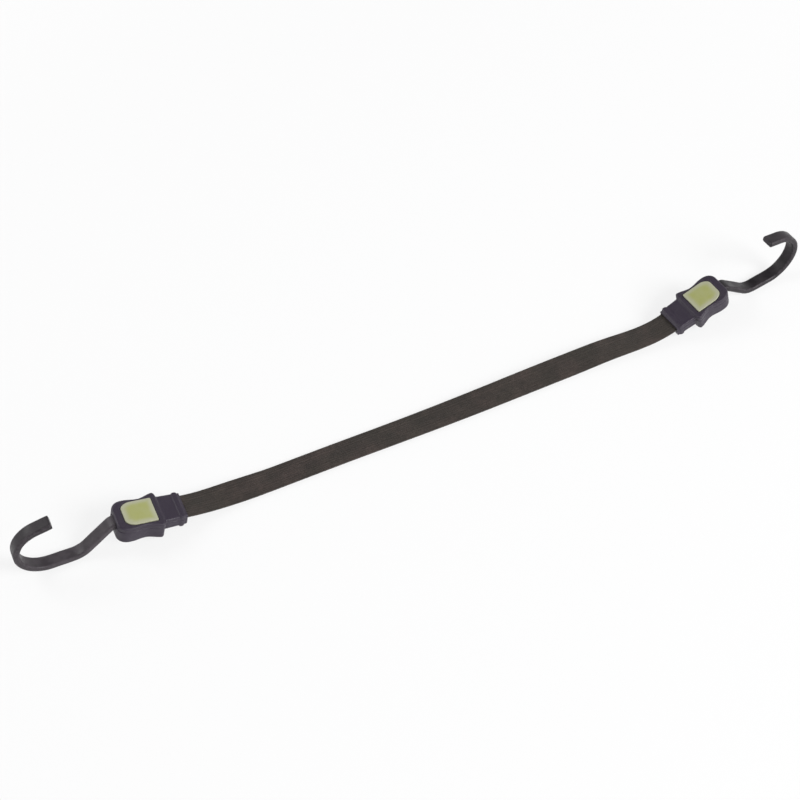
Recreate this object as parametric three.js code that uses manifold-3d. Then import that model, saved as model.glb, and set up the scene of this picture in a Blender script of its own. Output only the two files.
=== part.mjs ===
// Flat bungee cord: a woven elastic strap held between two moulded grips, each with a coated steel hook.
// Millimetres, Z up. The strap lies along X on a table at z = 0, and the origin is under its middle.
// Each grip is built once in its own frame: origin at the neck mouth, +X out to the hook, +Z to the pad.

import * as THREE from 'three';
import { mergeVertices } from 'three/addons/utils/BufferGeometryUtils.js';
import Module from 'manifold-3d';

const wasm = await Module();
wasm.setup();

// Clearances between neighbouring pieces
const FIT = 0.3;
const SEAT_GAP = 0.15;

// Strap: a flat woven jacket round a row of rubber strands
const STRAP_WIDTH = 19;
const STRAP_THICKNESS = 3;
const STRAP_CORNER = 1.1;
const STRAP_SPAN = 392;
const STRAP_LIFT = 55;
const JACKET_WALL = 0.45;
const STRAND_COUNT = 5;
const STRAND_CORNER = 0.45;
const BEND_OFFSET = 20;
const MIDDLE_LENGTH = 130;

// Lie of the two ends on the table
const END_TILT = THREE.MathUtils.degToRad(15.4);
const LEFT_YAW = THREE.MathUtils.degToRad(0);
const RIGHT_YAW = THREE.MathUtils.degToRad(7);

// Hook: a steel strip in a dipped vinyl coat, as lines and arcs from the tang to the tip
const CORE_WIDTH = 8.4;
const CORE_THICKNESS = 3;
const CORE_CORNER = 0.6;
const COAT_WALL = 0.65;
const COAT_CORNER = 1.3;
const COAT_COVER = 5;
const TIP_CAP = 1.4;
const EXIT_RADIUS = 12;
const EXIT_ANGLE = THREE.MathUtils.degToRad(30.1);
const DIP_RADIUS = 5.9;
const DIP_ANGLE = THREE.MathUtils.degToRad(22.6);
const SHANK_LENGTH = 23.3;
const HEEL_RADIUS = 16.8;
const HEEL_ANGLE = THREE.MathUtils.degToRad(40.8);
const SOLE_LENGTH = 15.2;
const BOWL_RADIUS = 21.3;
const BOWL_ANGLE = THREE.MathUtils.degToRad(167.9);
const TIP_LENGTH = 11;
const HOOK_STANDOFF = 1.4;

// Splice clamp: two plates that grip the strap at one end and are riveted to the hook's tang at the other
const CLAMP_SETBACK = 1;
const CLAMP_GRIP = 9;
const CLAMP_GAP = 1;
const CLAMP_LAP = 9;
const CLAMP_PLATE = 1;
const CLAMP_INSET = 0.5;
const CLAMP_CORNER = 1;
const RIVET_RADIUS = 1.1;
const RIVET_HEAD_RADIUS = 1.9;
const RIVET_HEAD = 0.9;
const RIVET_EDGE = 2.2;

// Moulded grip: neck with a raised rim, and a thicker body with ears, finger scallops and a blunt nose
const NECK_LENGTH = 17;
const NECK_SIDE_WALL = 0.9;
const NECK_FLARE = 0.9;
const NECK_TOP_WALL = 1.5;
const NECK_BOTTOM_WALL = 4.8;
const NECK_ROUND = 1.2;
const RIM_START = 2;
const RIM_LENGTH = 4;
const RIM_LIP = 0.6;
const BODY_SIDE_WALL = 2.2;
const BODY_ROUND = 1.3;
const EAR_ROUND_SHARE = 0.6;
const TOP_WALL = 1.5;
const BOTTOM_WALL = 6.5;
const NOSE_LENGTH = 13;
const NOSE_WALL = 0.9;
const EAR_FLARE = 2.8;
const EAR_REACH = 2.2;
const SCALLOP_REACH = 12.5;
const SHOULDER_FLARE = 1.2;
const SHOULDER_REACH = 8.5;
const SHELL_GAP = 0.2;

// Grip pad set into the top of the body
const PAD_START = 4.4;
const PAD_NOSE_MARGIN = 6;
const PAD_SIDE_MARGIN = 2;
const PAD_TAPER = 7.5;
const PAD_NOSE_SHARE = 0.5;
const PAD_DEPTH = 0.8;
const PAD_PROUD = 0.5;
const PAD_ROUND = 0.35;
const PAD_CORNER = 1.6;

// Self-tapping screws that close the shells from below
const SCREW_RADIUS = 1.2;
const SCREW_HEAD_RADIUS = 2.2;
const SCREW_HEAD = 1.7;
const SCREW_RECESS = 3.5;
const SCREW_OFFSET = 4.6;
const SCREW_WALL = 1.3;
const SCREW_TOP_WALL = 0.7;
const SCREW_DRIVE_RADIUS = 0.9;
const SCREW_DRIVE_DEPTH = 0.9;

// Roundness of the solids
const ARC_STEP = THREE.MathUtils.degToRad(14);
const LIFT_STEPS = 5;
const BEND_STEPS = 3;
const ROUND_SIDES = 14;
const OUTLINE_STEPS = 6;

// Sizes that follow from those above
const strapHalfWidth = STRAP_WIDTH / 2;
const strapHalf = STRAP_THICKNESS / 2;
const coatGrowth = SEAT_GAP + COAT_WALL;
const coatHalfWidth = CORE_WIDTH / 2 + coatGrowth;
const coatHalf = CORE_THICKNESS / 2 + coatGrowth;
const clampStart = NECK_LENGTH + CLAMP_SETBACK;
const strapEnd = clampStart + CLAMP_GRIP;
const tangStart = strapEnd + CLAMP_GAP;
const clampEnd = tangStart + CLAMP_LAP;
const noseEnd = clampEnd + NOSE_LENGTH;
const exitBendStart = noseEnd + HOOK_STANDOFF - EXIT_RADIUS * Math.sin(EXIT_ANGLE);
const plateInner = Math.max(strapHalf, CORE_THICKNESS / 2) + SEAT_GAP;
const plateOuter = plateInner + CLAMP_PLATE;
const rivetFoot = -(plateOuter + SEAT_GAP + RIVET_HEAD);
const neckHalfWidth = strapHalfWidth + FIT + NECK_SIDE_WALL;
const neckTop = strapHalf + FIT + NECK_TOP_WALL;
const neckBottom = -(strapHalf + FIT + NECK_BOTTOM_WALL);
const bodyHalfWidth = strapHalfWidth + FIT + BODY_SIDE_WALL;
const bodyRound = Math.min(BODY_ROUND, EAR_ROUND_SHARE * EAR_REACH);
const bodyTop = plateOuter + FIT + TOP_WALL;
const bodyBottom = rivetFoot - FIT - BOTTOM_WALL;
const padFloor = bodyTop - PAD_DEPTH;
const screwX = clampEnd + SCREW_OFFSET;
const screwY = CORE_WIDTH / 2 + FIT + SCREW_WALL + SCREW_RADIUS + SEAT_GAP;
const screwSeat = bodyBottom + SCREW_RECESS;
const screwTop = padFloor - SCREW_TOP_WALL - FIT;

// Colours and finishes
const finishes = {
  jacket: { color: 0x443f3c, roughness: 0.95, metalness: 0 },
  rubber: { color: 0xb9a27c, roughness: 0.8, metalness: 0 },
  shell: { color: 0x554e58, roughness: 0.55, metalness: 0 },
  pad: { color: 0xacae7c, roughness: 0.5, metalness: 0 },
  coat: { color: 0x3a373b, roughness: 0.4, metalness: 0 },
  steel: { color: 0x9a9a98, roughness: 0.4, metalness: 1 },
};

// A closed mesh named as a sub-part, with its faces turned outwards
function piece(name, geometry, finish) {
  const mesh = new THREE.Mesh(facingOut(geometry), new THREE.MeshStandardMaterial(finishes[finish]));
  mesh.name = name;
  return mesh;
}

function facingOut(geometry) {
  const place = geometry.getAttribute('position');
  const index = geometry.getIndex();
  const count = index ? index.count : place.count;
  const at = (k) => new THREE.Vector3().fromBufferAttribute(place, index ? index.getX(k) : k);
  let volume = 0;
  for (let k = 0; k < count; k += 3) {
    volume += at(k).dot(at(k + 1).cross(at(k + 2)));
  }
  if (volume < 0) {
    const order = Array.from({ length: count }, (_, k) => (index ? index.getX(k) : k));
    geometry.setIndex(order.reverse());
  }
  geometry.computeVertexNormals();
  return geometry;
}

// Boolean joins and cuts
function solid(geometry) {
  const bare = facingOut(geometry.clone());
  bare.deleteAttribute('normal');
  bare.deleteAttribute('uv');
  const merged = mergeVertices(bare, 1e-4);
  const vertProperties = new Float32Array(merged.getAttribute('position').array);
  const triVerts = new Uint32Array(merged.getIndex().array);
  return new wasm.Manifold(new wasm.Mesh({ numProp: 3, vertProperties, triVerts }));
}

function geometryOf(manifold) {
  const mesh = manifold.getMesh();
  const geometry = new THREE.BufferGeometry();
  geometry.setAttribute('position', new THREE.BufferAttribute(mesh.vertProperties, 3));
  geometry.setIndex(new THREE.BufferAttribute(mesh.triVerts, 1));
  return geometry;
}

function block(x0, x1, halfWidth, z0, z1) {
  const geometry = new THREE.BoxGeometry(x1 - x0, 2 * halfWidth, z1 - z0);
  return geometry.translate((x0 + x1) / 2, 0, (z0 + z1) / 2);
}

function upright(radius, x, y, z0, z1) {
  const geometry = new THREE.CylinderGeometry(radius, radius, z1 - z0, ROUND_SIDES);
  return geometry.rotateX(Math.PI / 2).translate(x, y, (z0 + z1) / 2);
}

// Cross-sections and lofts
function roundedSection(halfWidth, half, corner, steps) {
  const points = [];
  const centres = [[1, 1], [-1, 1], [-1, -1], [1, -1]];
  centres.forEach(([across, up], quarter) => {
    for (let k = 0; k <= steps; k += 1) {
      const angle = (quarter + k / steps) * Math.PI / 2;
      const y = across * (halfWidth - corner) + corner * Math.cos(angle);
      const z = up * (half - corner) + corner * Math.sin(angle);
      points.push(new THREE.Vector2(y, z));
    }
  });
  return points;
}

// A station holds a point and the directions of width and thickness there; a ring is a section set at it
function ring(station, section) {
  return section.map((p) => station.point.clone()
    .addScaledVector(station.across, p.x)
    .addScaledVector(station.up, p.y));
}

function loftGeometry(faces) {
  const geometry = new THREE.BufferGeometry();
  geometry.setFromPoints(faces.flat());
  return mergeVertices(geometry, 1e-4);
}

function wallFaces(a, b) {
  const faces = [];
  a.forEach((p, k) => {
    const next = (k + 1) % a.length;
    faces.push([p, a[next], b[next]], [p, b[next], b[k]]);
  });
  return faces;
}

function capFaces(loop) {
  const faces = [];
  for (let k = 1; k < loop.length - 1; k += 1) {
    faces.push([loop[0], loop[k + 1], loop[k]]);
  }
  return faces;
}

function reversed(faces) {
  return faces.map(([a, b, c]) => [a, c, b]);
}

function skin(rings) {
  return rings.slice(1).flatMap((r, k) => wallFaces(rings[k], r));
}

function loft(stations, section) {
  const rings = stations.map((s) => ring(s, section));
  return loftGeometry([...skin(rings), ...capFaces(rings[0]), ...reversed(capFaces(rings.at(-1)))]);
}

// A hollow loft: open at both ends, or blind at its far end where the bore stops short of the outside
function sleeve(outerStations, outerSection, boreStations, boreSection, blind) {
  const outer = outerStations.map((s) => ring(s, outerSection));
  const bore = boreStations.map((s) => ring(s, boreSection));
  const mouth = wallFaces(bore[0], outer[0]);
  const far = blind
    ? [...reversed(capFaces(outer.at(-1))), ...capFaces(bore.at(-1))]
    : wallFaces(outer.at(-1), bore.at(-1));
  return loftGeometry([...skin(outer), ...reversed(skin(bore)), ...mouth, ...far]);
}

// Hook line, in the grip's XZ plane: each stretch has a length and a turn, and a turn up is positive
const hookStretches = [
  { length: exitBendStart - tangStart, turn: 0 },
  { length: EXIT_RADIUS * EXIT_ANGLE, turn: -EXIT_ANGLE },
  { length: DIP_RADIUS * DIP_ANGLE, turn: -DIP_ANGLE },
  { length: SHANK_LENGTH, turn: 0 },
  { length: HEEL_RADIUS * HEEL_ANGLE, turn: HEEL_ANGLE },
  { length: SOLE_LENGTH, turn: 0 },
  { length: BOWL_RADIUS * BOWL_ANGLE, turn: BOWL_ANGLE },
  { length: TIP_LENGTH, turn: 0 },
];
const hookLength = hookStretches.reduce((sum, s) => sum + s.length, 0);

function hookStation(distance) {
  let x = tangStart;
  let z = 0;
  let heading = 0;
  let left = distance;
  for (const stretch of hookStretches) {
    const run = Math.min(left, stretch.length);
    const turn = stretch.turn * run / stretch.length;
    const chord = turn === 0 ? run : 2 * run / turn * Math.sin(turn / 2);
    x += chord * Math.cos(heading + turn / 2);
    z += chord * Math.sin(heading + turn / 2);
    heading += turn;
    left -= run;
    if (left <= 0) break;
  }
  return {
    point: new THREE.Vector3(x, 0, z),
    across: new THREE.Vector3(0, 1, 0),
    up: new THREE.Vector3(-Math.sin(heading), 0, Math.cos(heading)),
  };
}

function hookStations(from, to) {
  const marks = [from];
  let start = 0;
  for (const stretch of hookStretches) {
    const steps = Math.max(1, Math.ceil(Math.abs(stretch.turn) / ARC_STEP));
    for (let k = 1; k <= steps; k += 1) {
      const mark = start + stretch.length * k / steps;
      if (mark > from + FIT && mark < to - FIT) marks.push(mark);
    }
    start += stretch.length;
  }
  marks.push(to);
  return marks.map(hookStation);
}

const coatStart = noseEnd - COAT_COVER - tangStart;
const boreEnd = hookLength - TIP_CAP;
const coreEnd = boreEnd - SEAT_GAP;

// Height of the neck mouth that sets the lowest point of the coated hook on the table
function neckHeight() {
  const heights = hookStations(coatStart, hookLength).flatMap((s) => [-coatHalf, coatHalf].map((t) => {
    const p = s.point.clone().addScaledVector(s.up, t);
    return p.x * Math.sin(END_TILT) + p.z * Math.cos(END_TILT);
  }));
  return -Math.min(...heights);
}

const ends = {
  left: { side: -1, turn: Math.PI - LEFT_YAW },
  right: { side: 1, turn: RIGHT_YAW },
};

for (const end of Object.values(ends)) {
  end.neck = new THREE.Vector3(end.side * STRAP_SPAN / 2, 0, neckHeight());
  end.rotation = new THREE.Euler(0, -END_TILT, end.turn, 'ZYX');
  end.outward = new THREE.Vector3(1, 0, 0).applyEuler(end.rotation);
}

// Strap line: flat on the table in the middle, and lifted in a smooth curve to each neck mouth
function liftCurve(end) {
  const foot = new THREE.Vector3(end.neck.x - end.side * STRAP_LIFT, 0, strapHalf);
  const reach = STRAP_LIFT / 3;
  const afterFoot = foot.clone().add(new THREE.Vector3(end.side * reach, 0, 0));
  const beforeNeck = end.neck.clone().addScaledVector(end.outward, -reach);
  return new THREE.CubicBezierCurve3(foot, afterFoot, beforeNeck, end.neck);
}

// All strap stations face the same way: their tangent runs from left to right and their width to the back
function strapStation(point, outward, side) {
  const along = outward.clone().multiplyScalar(side).normalize();
  const across = new THREE.Vector3(0, 0, 1).cross(along).normalize();
  return { point, across, up: along.cross(across) };
}

function liftStations(end, from, to, steps) {
  const curve = liftCurve(end);
  return Array.from({ length: steps + 1 }, (_, k) => {
    const share = THREE.MathUtils.lerp(from, to, k / steps);
    return strapStation(curve.getPointAt(share), curve.getTangentAt(share), end.side);
  });
}

function bendShare(end, offset) {
  return 1 - offset / liftCurve(end).getLength();
}

function flatStation(x) {
  return strapStation(new THREE.Vector3(x, 0, strapHalf), new THREE.Vector3(1, 0, 0), 1);
}

// Tail of the strap: from the bend outside the neck, through it and into the clamp
function tailStations(end) {
  const inside = end.neck.clone().addScaledVector(end.outward, strapEnd);
  const bend = bendShare(end, BEND_OFFSET - FIT / 2);
  return [...liftStations(end, bend, 1, BEND_STEPS), strapStation(inside, end.outward, end.side)];
}

function armStations(end) {
  const inner = flatStation(end.side * (MIDDLE_LENGTH + FIT) / 2);
  return [inner, ...liftStations(end, 0, bendShare(end, BEND_OFFSET + FIT / 2), LIFT_STEPS)];
}

function middleStations() {
  return [flatStation(-(MIDDLE_LENGTH - FIT) / 2), flatStation((MIDDLE_LENGTH - FIT) / 2)];
}

// One stretch of strap: the woven jacket as a flat sleeve, and the row of rubber strands inside it
function strapPieces(name, stations) {
  const boreHalfWidth = strapHalfWidth - JACKET_WALL;
  const boreHalf = strapHalf - JACKET_WALL;
  const outside = roundedSection(strapHalfWidth, strapHalf, STRAP_CORNER, 2);
  const bore = roundedSection(boreHalfWidth, boreHalf, STRAP_CORNER - JACKET_WALL, 2);
  const pieces = [piece(`${name}_jacket`, sleeve(stations, outside, stations, bore, false), 'jacket')];
  const pitch = (2 * boreHalfWidth - FIT) / STRAND_COUNT;
  const strand = roundedSection((pitch - FIT) / 2, boreHalf - FIT, STRAND_CORNER, 1);
  for (let k = 0; k < STRAND_COUNT; k += 1) {
    const offset = (k - (STRAND_COUNT - 1) / 2) * pitch;
    const section = strand.map((p) => new THREE.Vector2(p.x + offset, p.y));
    pieces.push(piece(`${name}_strand_${k + 1}`, loft(stations, section), 'rubber'));
  }
  return pieces;
}

// Plan of the body, from the ears at the neck to the nose at the hook
function bodyPlan() {
  const ear = bodyHalfWidth + EAR_FLARE;
  const shoulder = bodyHalfWidth + SHOULDER_FLARE;
  const nose = coatHalfWidth + FIT + NOSE_WALL;
  const earX = NECK_LENGTH + EAR_REACH;
  const scallopX = NECK_LENGTH + SCALLOP_REACH;
  const shoulderX = noseEnd - SHOULDER_REACH;
  const half = new THREE.Path();
  half.moveTo(NECK_LENGTH, 0);
  half.lineTo(NECK_LENGTH, neckHalfWidth);
  half.bezierCurveTo(NECK_LENGTH, ear - EAR_FLARE / 2, NECK_LENGTH + EAR_REACH / 2, ear, earX, ear);
  half.bezierCurveTo(earX + EAR_REACH, ear, scallopX - EAR_REACH, bodyHalfWidth, scallopX, bodyHalfWidth);
  const sway = (shoulderX - scallopX) / 2;
  half.bezierCurveTo(scallopX + sway, bodyHalfWidth, shoulderX - sway, shoulder, shoulderX, shoulder);
  half.bezierCurveTo(noseEnd - SHOULDER_REACH / 3, shoulder, noseEnd, (shoulder + nose) / 2, noseEnd, nose);
  half.lineTo(noseEnd, 0);
  return mirroredShape(half);
}

function mirroredShape(half) {
  const upper = half.getPoints(OUTLINE_STEPS);
  const lower = upper.slice(1, -1).reverse().map((p) => new THREE.Vector2(p.x, -p.y));
  return new THREE.Shape([...upper, ...lower]);
}

// Plan of the pad: a straight edge towards the strap, and a rounded taper towards the nose
function padPlan(growth) {
  const start = NECK_LENGTH + PAD_START - growth;
  const end = noseEnd - PAD_NOSE_MARGIN + growth;
  const side = bodyHalfWidth - PAD_SIDE_MARGIN + growth;
  const nose = (bodyHalfWidth - PAD_SIDE_MARGIN) * PAD_NOSE_SHARE + growth;
  const half = new THREE.Path();
  half.moveTo(start, 0);
  half.lineTo(start, side - PAD_CORNER);
  half.quadraticCurveTo(start, side, start + PAD_CORNER, side);
  half.lineTo(end - PAD_TAPER, side);
  half.bezierCurveTo(end - PAD_TAPER / 2, side, end, (side + nose) / 2, end, nose);
  half.lineTo(end, 0);
  return mirroredShape(half);
}

// A plan raised from one height to another, with its upper and lower edges rounded inside the plan
function raised(shape, z0, z1, round) {
  const geometry = new THREE.ExtrudeGeometry(shape, {
    depth: z1 - z0 - 2 * round,
    bevelEnabled: round > 0,
    bevelThickness: round,
    bevelSize: round,
    bevelOffset: -round,
    bevelSegments: 2,
    curveSegments: OUTLINE_STEPS,
  });
  return geometry.translate(0, 0, z0 + round);
}

// Plan of the neck, which widens from its mouth to the body
function neckPlan() {
  const end = NECK_LENGTH + EAR_REACH;
  const half = new THREE.Path();
  half.moveTo(0, 0);
  half.lineTo(0, neckHalfWidth);
  half.lineTo(end, neckHalfWidth + NECK_FLARE);
  half.lineTo(end, 0);
  return mirroredShape(half);
}

function rimPlan() {
  const shape = roundedSection(RIM_LENGTH / 2, neckHalfWidth + RIM_LIP, NECK_ROUND, 2);
  return new THREE.Shape(shape.map((p) => new THREE.Vector2(p.x + RIM_START + RIM_LENGTH / 2, p.y)));
}

const rivetPlaces = [tangStart + RIVET_EDGE, clampEnd - RIVET_EDGE];
const screwPlaces = { front: -screwY, back: screwY };

// Hollows of the grip: the strap's way, the clamp's chamber, the rivets' pocket and the hook's way out
function gripHollows() {
  const wayHalfWidth = strapHalfWidth + FIT;
  const clampHalfWidth = strapHalfWidth - CLAMP_INSET + FIT;
  const plateSpace = plateOuter + FIT;
  const rivetSpace = RIVET_HEAD_RADIUS + FIT;
  const strapSpace = strapHalf + FIT;
  const coreSpace = CORE_THICKNESS / 2 + FIT;
  const coatSpace = roundedSection(coatHalfWidth + FIT, coatHalf + FIT, COAT_CORNER, 2);
  const coatRun = hookStations(coatStart - FIT, coatStart + 2 * COAT_COVER + NOSE_LENGTH);
  return [
    block(-FIT, strapEnd + FIT, wayHalfWidth, -strapSpace, strapSpace),
    block(clampStart - FIT, clampEnd + FIT, clampHalfWidth, -plateSpace, plateSpace),
    block(rivetPlaces[0] - rivetSpace, rivetPlaces[1] + rivetSpace, rivetSpace, rivetFoot - FIT, 0),
    block(clampEnd, noseEnd, CORE_WIDTH / 2 + FIT, -coreSpace, coreSpace),
    loft(coatRun, coatSpace),
  ];
}

function screwHoles() {
  const shank = SCREW_RADIUS + SEAT_GAP;
  return Object.values(screwPlaces).flatMap((y) => [
    upright(shank, screwX, y, screwSeat - FIT, screwTop + FIT),
    upright(SCREW_HEAD_RADIUS + FIT, screwX, y, bodyBottom - FIT, screwSeat),
  ]);
}

// The two shells: one outside, hollowed, and parted along the strap's middle plane
function shells(name) {
  const outside = [
    raised(bodyPlan(), bodyBottom, bodyTop, bodyRound),
    raised(neckPlan(), neckBottom, neckTop, NECK_ROUND),
    raised(rimPlan(), neckBottom - RIM_LIP, neckTop + RIM_LIP, RIM_LIP),
  ];
  const padSeat = raised(padPlan(FIT), padFloor, bodyTop + FIT, 0);
  let grip = outside.map(solid).reduce((whole, part) => whole.add(part));
  for (const hollow of [...gripHollows(), ...screwHoles(), padSeat]) {
    grip = grip.subtract(solid(hollow));
  }
  const reach = noseEnd + NECK_LENGTH;
  const upperHalf = solid(block(-NECK_LENGTH, reach, reach, SHELL_GAP / 2, reach));
  const lowerHalf = solid(block(-NECK_LENGTH, reach, reach, -reach, -SHELL_GAP / 2));
  return [
    piece(`${name}_upper_shell`, geometryOf(grip.intersect(upperHalf)), 'shell'),
    piece(`${name}_lower_shell`, geometryOf(grip.intersect(lowerHalf)), 'shell'),
  ];
}

function gripPad(name) {
  const geometry = raised(padPlan(0), padFloor + SEAT_GAP, bodyTop + PAD_PROUD, PAD_ROUND);
  return piece(`${name}_grip_pad`, geometry, 'pad');
}

function hookCore(name) {
  const section = roundedSection(CORE_WIDTH / 2, CORE_THICKNESS / 2, CORE_CORNER, 1);
  let core = solid(loft(hookStations(0, coreEnd), section));
  for (const x of rivetPlaces) {
    core = core.subtract(solid(upright(RIVET_RADIUS + SEAT_GAP, x, 0, -CORE_THICKNESS, CORE_THICKNESS)));
  }
  return piece(`${name}_hook_core`, geometryOf(core), 'steel');
}

function hookCoat(name) {
  const outside = roundedSection(coatHalfWidth, coatHalf, COAT_CORNER, 2);
  const bore = roundedSection(CORE_WIDTH / 2 + SEAT_GAP, CORE_THICKNESS / 2 + SEAT_GAP, CORE_CORNER, 2);
  const outer = hookStations(coatStart, hookLength);
  const inner = hookStations(coatStart, boreEnd);
  return piece(`${name}_hook_coat`, sleeve(outer, outside, inner, bore, true), 'coat');
}

function clampPlate(name, z0) {
  const halfWidth = strapHalfWidth - CLAMP_INSET;
  const shape = new THREE.Shape(roundedSection((clampEnd - clampStart) / 2, halfWidth, CLAMP_CORNER, 2));
  const middle = (clampEnd + clampStart) / 2;
  for (const x of rivetPlaces) {
    const hole = new THREE.Path();
    hole.absarc(x - middle, 0, RIVET_RADIUS + SEAT_GAP, 0, 2 * Math.PI, true);
    shape.holes.push(hole);
  }
  const geometry = new THREE.ExtrudeGeometry(shape, {
    depth: CLAMP_PLATE,
    bevelEnabled: false,
    curveSegments: ROUND_SIDES / 2,
  });
  return piece(name, geometry.translate(middle, 0, z0), 'steel');
}

// Turned pieces stand along Z: the profile lists radius and height from the foot to the top
function turned(name, profile, x, y, finish) {
  const points = profile.map(([radius, height]) => new THREE.Vector2(radius, height));
  const geometry = new THREE.LatheGeometry(points, ROUND_SIDES).rotateX(Math.PI / 2).translate(x, y, 0);
  geometry.deleteAttribute('normal');
  geometry.deleteAttribute('uv');
  return piece(name, mergeVertices(geometry, 1e-4), finish);
}

function rivet(name, x) {
  const headTop = rivetFoot + RIVET_HEAD;
  const profile = [
    [0, rivetFoot],
    [RIVET_RADIUS, rivetFoot],
    [RIVET_HEAD_RADIUS, headTop],
    [RIVET_RADIUS, headTop],
    [RIVET_RADIUS, plateOuter],
    [0, plateOuter],
  ];
  return turned(name, profile, x, 0, 'steel');
}

function screw(name, y) {
  const headTop = screwSeat - SEAT_GAP;
  const foot = headTop - SCREW_HEAD;
  const profile = [
    [0, foot + SCREW_DRIVE_DEPTH],
    [SCREW_DRIVE_RADIUS, foot + SCREW_DRIVE_DEPTH],
    [SCREW_DRIVE_RADIUS, foot],
    [SCREW_HEAD_RADIUS - SCREW_HEAD / 3, foot],
    [SCREW_HEAD_RADIUS, foot + SCREW_HEAD / 2],
    [SCREW_HEAD_RADIUS, headTop],
    [SCREW_RADIUS, headTop],
    [SCREW_RADIUS, screwTop - SCREW_RADIUS],
    [0, screwTop],
  ];
  return turned(name, profile, screwX, y, 'steel');
}

// One complete end: shells, pad, hook, clamp and fasteners in the grip's own frame
function endFitting(name, end) {
  const group = new THREE.Group();
  group.position.copy(end.neck);
  group.rotation.copy(end.rotation);
  group.add(...shells(name), gripPad(name), hookCore(name), hookCoat(name));
  group.add(clampPlate(`${name}_clamp_top`, plateInner));
  group.add(clampPlate(`${name}_clamp_bottom`, -plateOuter));
  group.add(rivet(`${name}_rivet_inner`, rivetPlaces[0]), rivet(`${name}_rivet_outer`, rivetPlaces[1]));
  for (const [place, y] of Object.entries(screwPlaces)) {
    group.add(screw(`${name}_screw_${place}`, y));
  }
  return group;
}

const bungee = new THREE.Group();
bungee.add(...strapPieces('strap_middle', middleStations()));
for (const [name, end] of Object.entries(ends)) {
  bungee.add(...strapPieces(`strap_${name}`, armStations(end)));
  bungee.add(...strapPieces(`strap_${name}_tail`, tailStations(end)));
  bungee.add(endFitting(name, end));
}

export default bungee;
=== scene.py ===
"""Dresses a flat bungee cord: woven strap, moulded grips with pads, dipped hooks and fasteners."""

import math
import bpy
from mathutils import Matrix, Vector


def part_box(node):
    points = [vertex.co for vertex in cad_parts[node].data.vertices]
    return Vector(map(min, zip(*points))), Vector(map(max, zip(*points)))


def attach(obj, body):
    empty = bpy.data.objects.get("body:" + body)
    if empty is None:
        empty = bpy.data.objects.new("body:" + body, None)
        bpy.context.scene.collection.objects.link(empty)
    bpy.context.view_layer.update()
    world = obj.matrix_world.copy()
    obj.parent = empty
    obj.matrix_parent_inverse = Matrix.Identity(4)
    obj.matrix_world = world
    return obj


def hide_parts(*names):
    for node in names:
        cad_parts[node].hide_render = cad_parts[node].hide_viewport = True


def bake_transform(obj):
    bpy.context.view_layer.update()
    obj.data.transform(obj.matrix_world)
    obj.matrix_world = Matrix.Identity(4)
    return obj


bl_info = {
    "name": "Flat Bungee Cord",
    "version": (1, 0, 0),
    "blender": (4, 5, 0),
    "location": "3D View > Sidebar > Bungee Cord",
    "description": "Builds the looks of a flat bungee cord round its packed solids",
    "category": "Add Mesh",
}

import bpy
import numpy as np
from bpy.props import FloatProperty, FloatVectorProperty, IntProperty, PointerProperty
from mathutils import Matrix, Vector

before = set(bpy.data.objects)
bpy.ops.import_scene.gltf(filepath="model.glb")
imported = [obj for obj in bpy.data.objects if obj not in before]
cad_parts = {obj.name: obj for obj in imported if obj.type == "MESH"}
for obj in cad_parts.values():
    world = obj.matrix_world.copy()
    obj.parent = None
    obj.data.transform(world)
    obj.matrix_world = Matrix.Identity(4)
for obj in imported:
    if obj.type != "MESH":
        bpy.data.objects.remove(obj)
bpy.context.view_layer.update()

MM = 0.001
SIDES = {"left": -1, "right": 1}

# Places on X, in millimetres, where one stretch of the strap ends and the next begins
STRAP_CUTS = (-136, -76, 136)
# From a cut to where the strap starts to twist or to stretch
CUT_MARGIN = 3
# Where the strap is still straight before a neck, and where it has bent as far as the neck
NECK_BEND = (159, 194)
# Further out than the strap reaches
PAST_THE_ENDS = 1000
# Rubber strands in each stretch
STRANDS = 5
# Part of the way to each neck over which the strap bows
BOW_SHARE = 0.6

# Lamps of the soft light: name, place in metres, power in watts
LAMPS = (
    ("key_light", (2.0, -2.4, 2.1), 113.0),
    ("back_light", (-2.0, 2.0, 2.4), 40.0),
)
WHITE = (1.0, 1.0, 1.0)

strap_low, strap_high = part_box("strap_middle_jacket")
hook_low, hook_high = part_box("left_hook_coat")


# Settings


def size(name, description, millimetres):
    return FloatProperty(
        name=name, description=description, default=millimetres * MM, unit="LENGTH", precision=5
    )


def angle(name, description, degrees):
    return FloatProperty(
        name=name, description=description, default=math.radians(degrees), subtype="ANGLE"
    )


def portion(name, description, value):
    return FloatProperty(name=name, description=description, default=value, min=0, max=1)


def colour(name, description, value):
    return FloatVectorProperty(
        name=name, description=description, default=value, subtype="COLOR", size=3, min=0, max=1
    )


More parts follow.
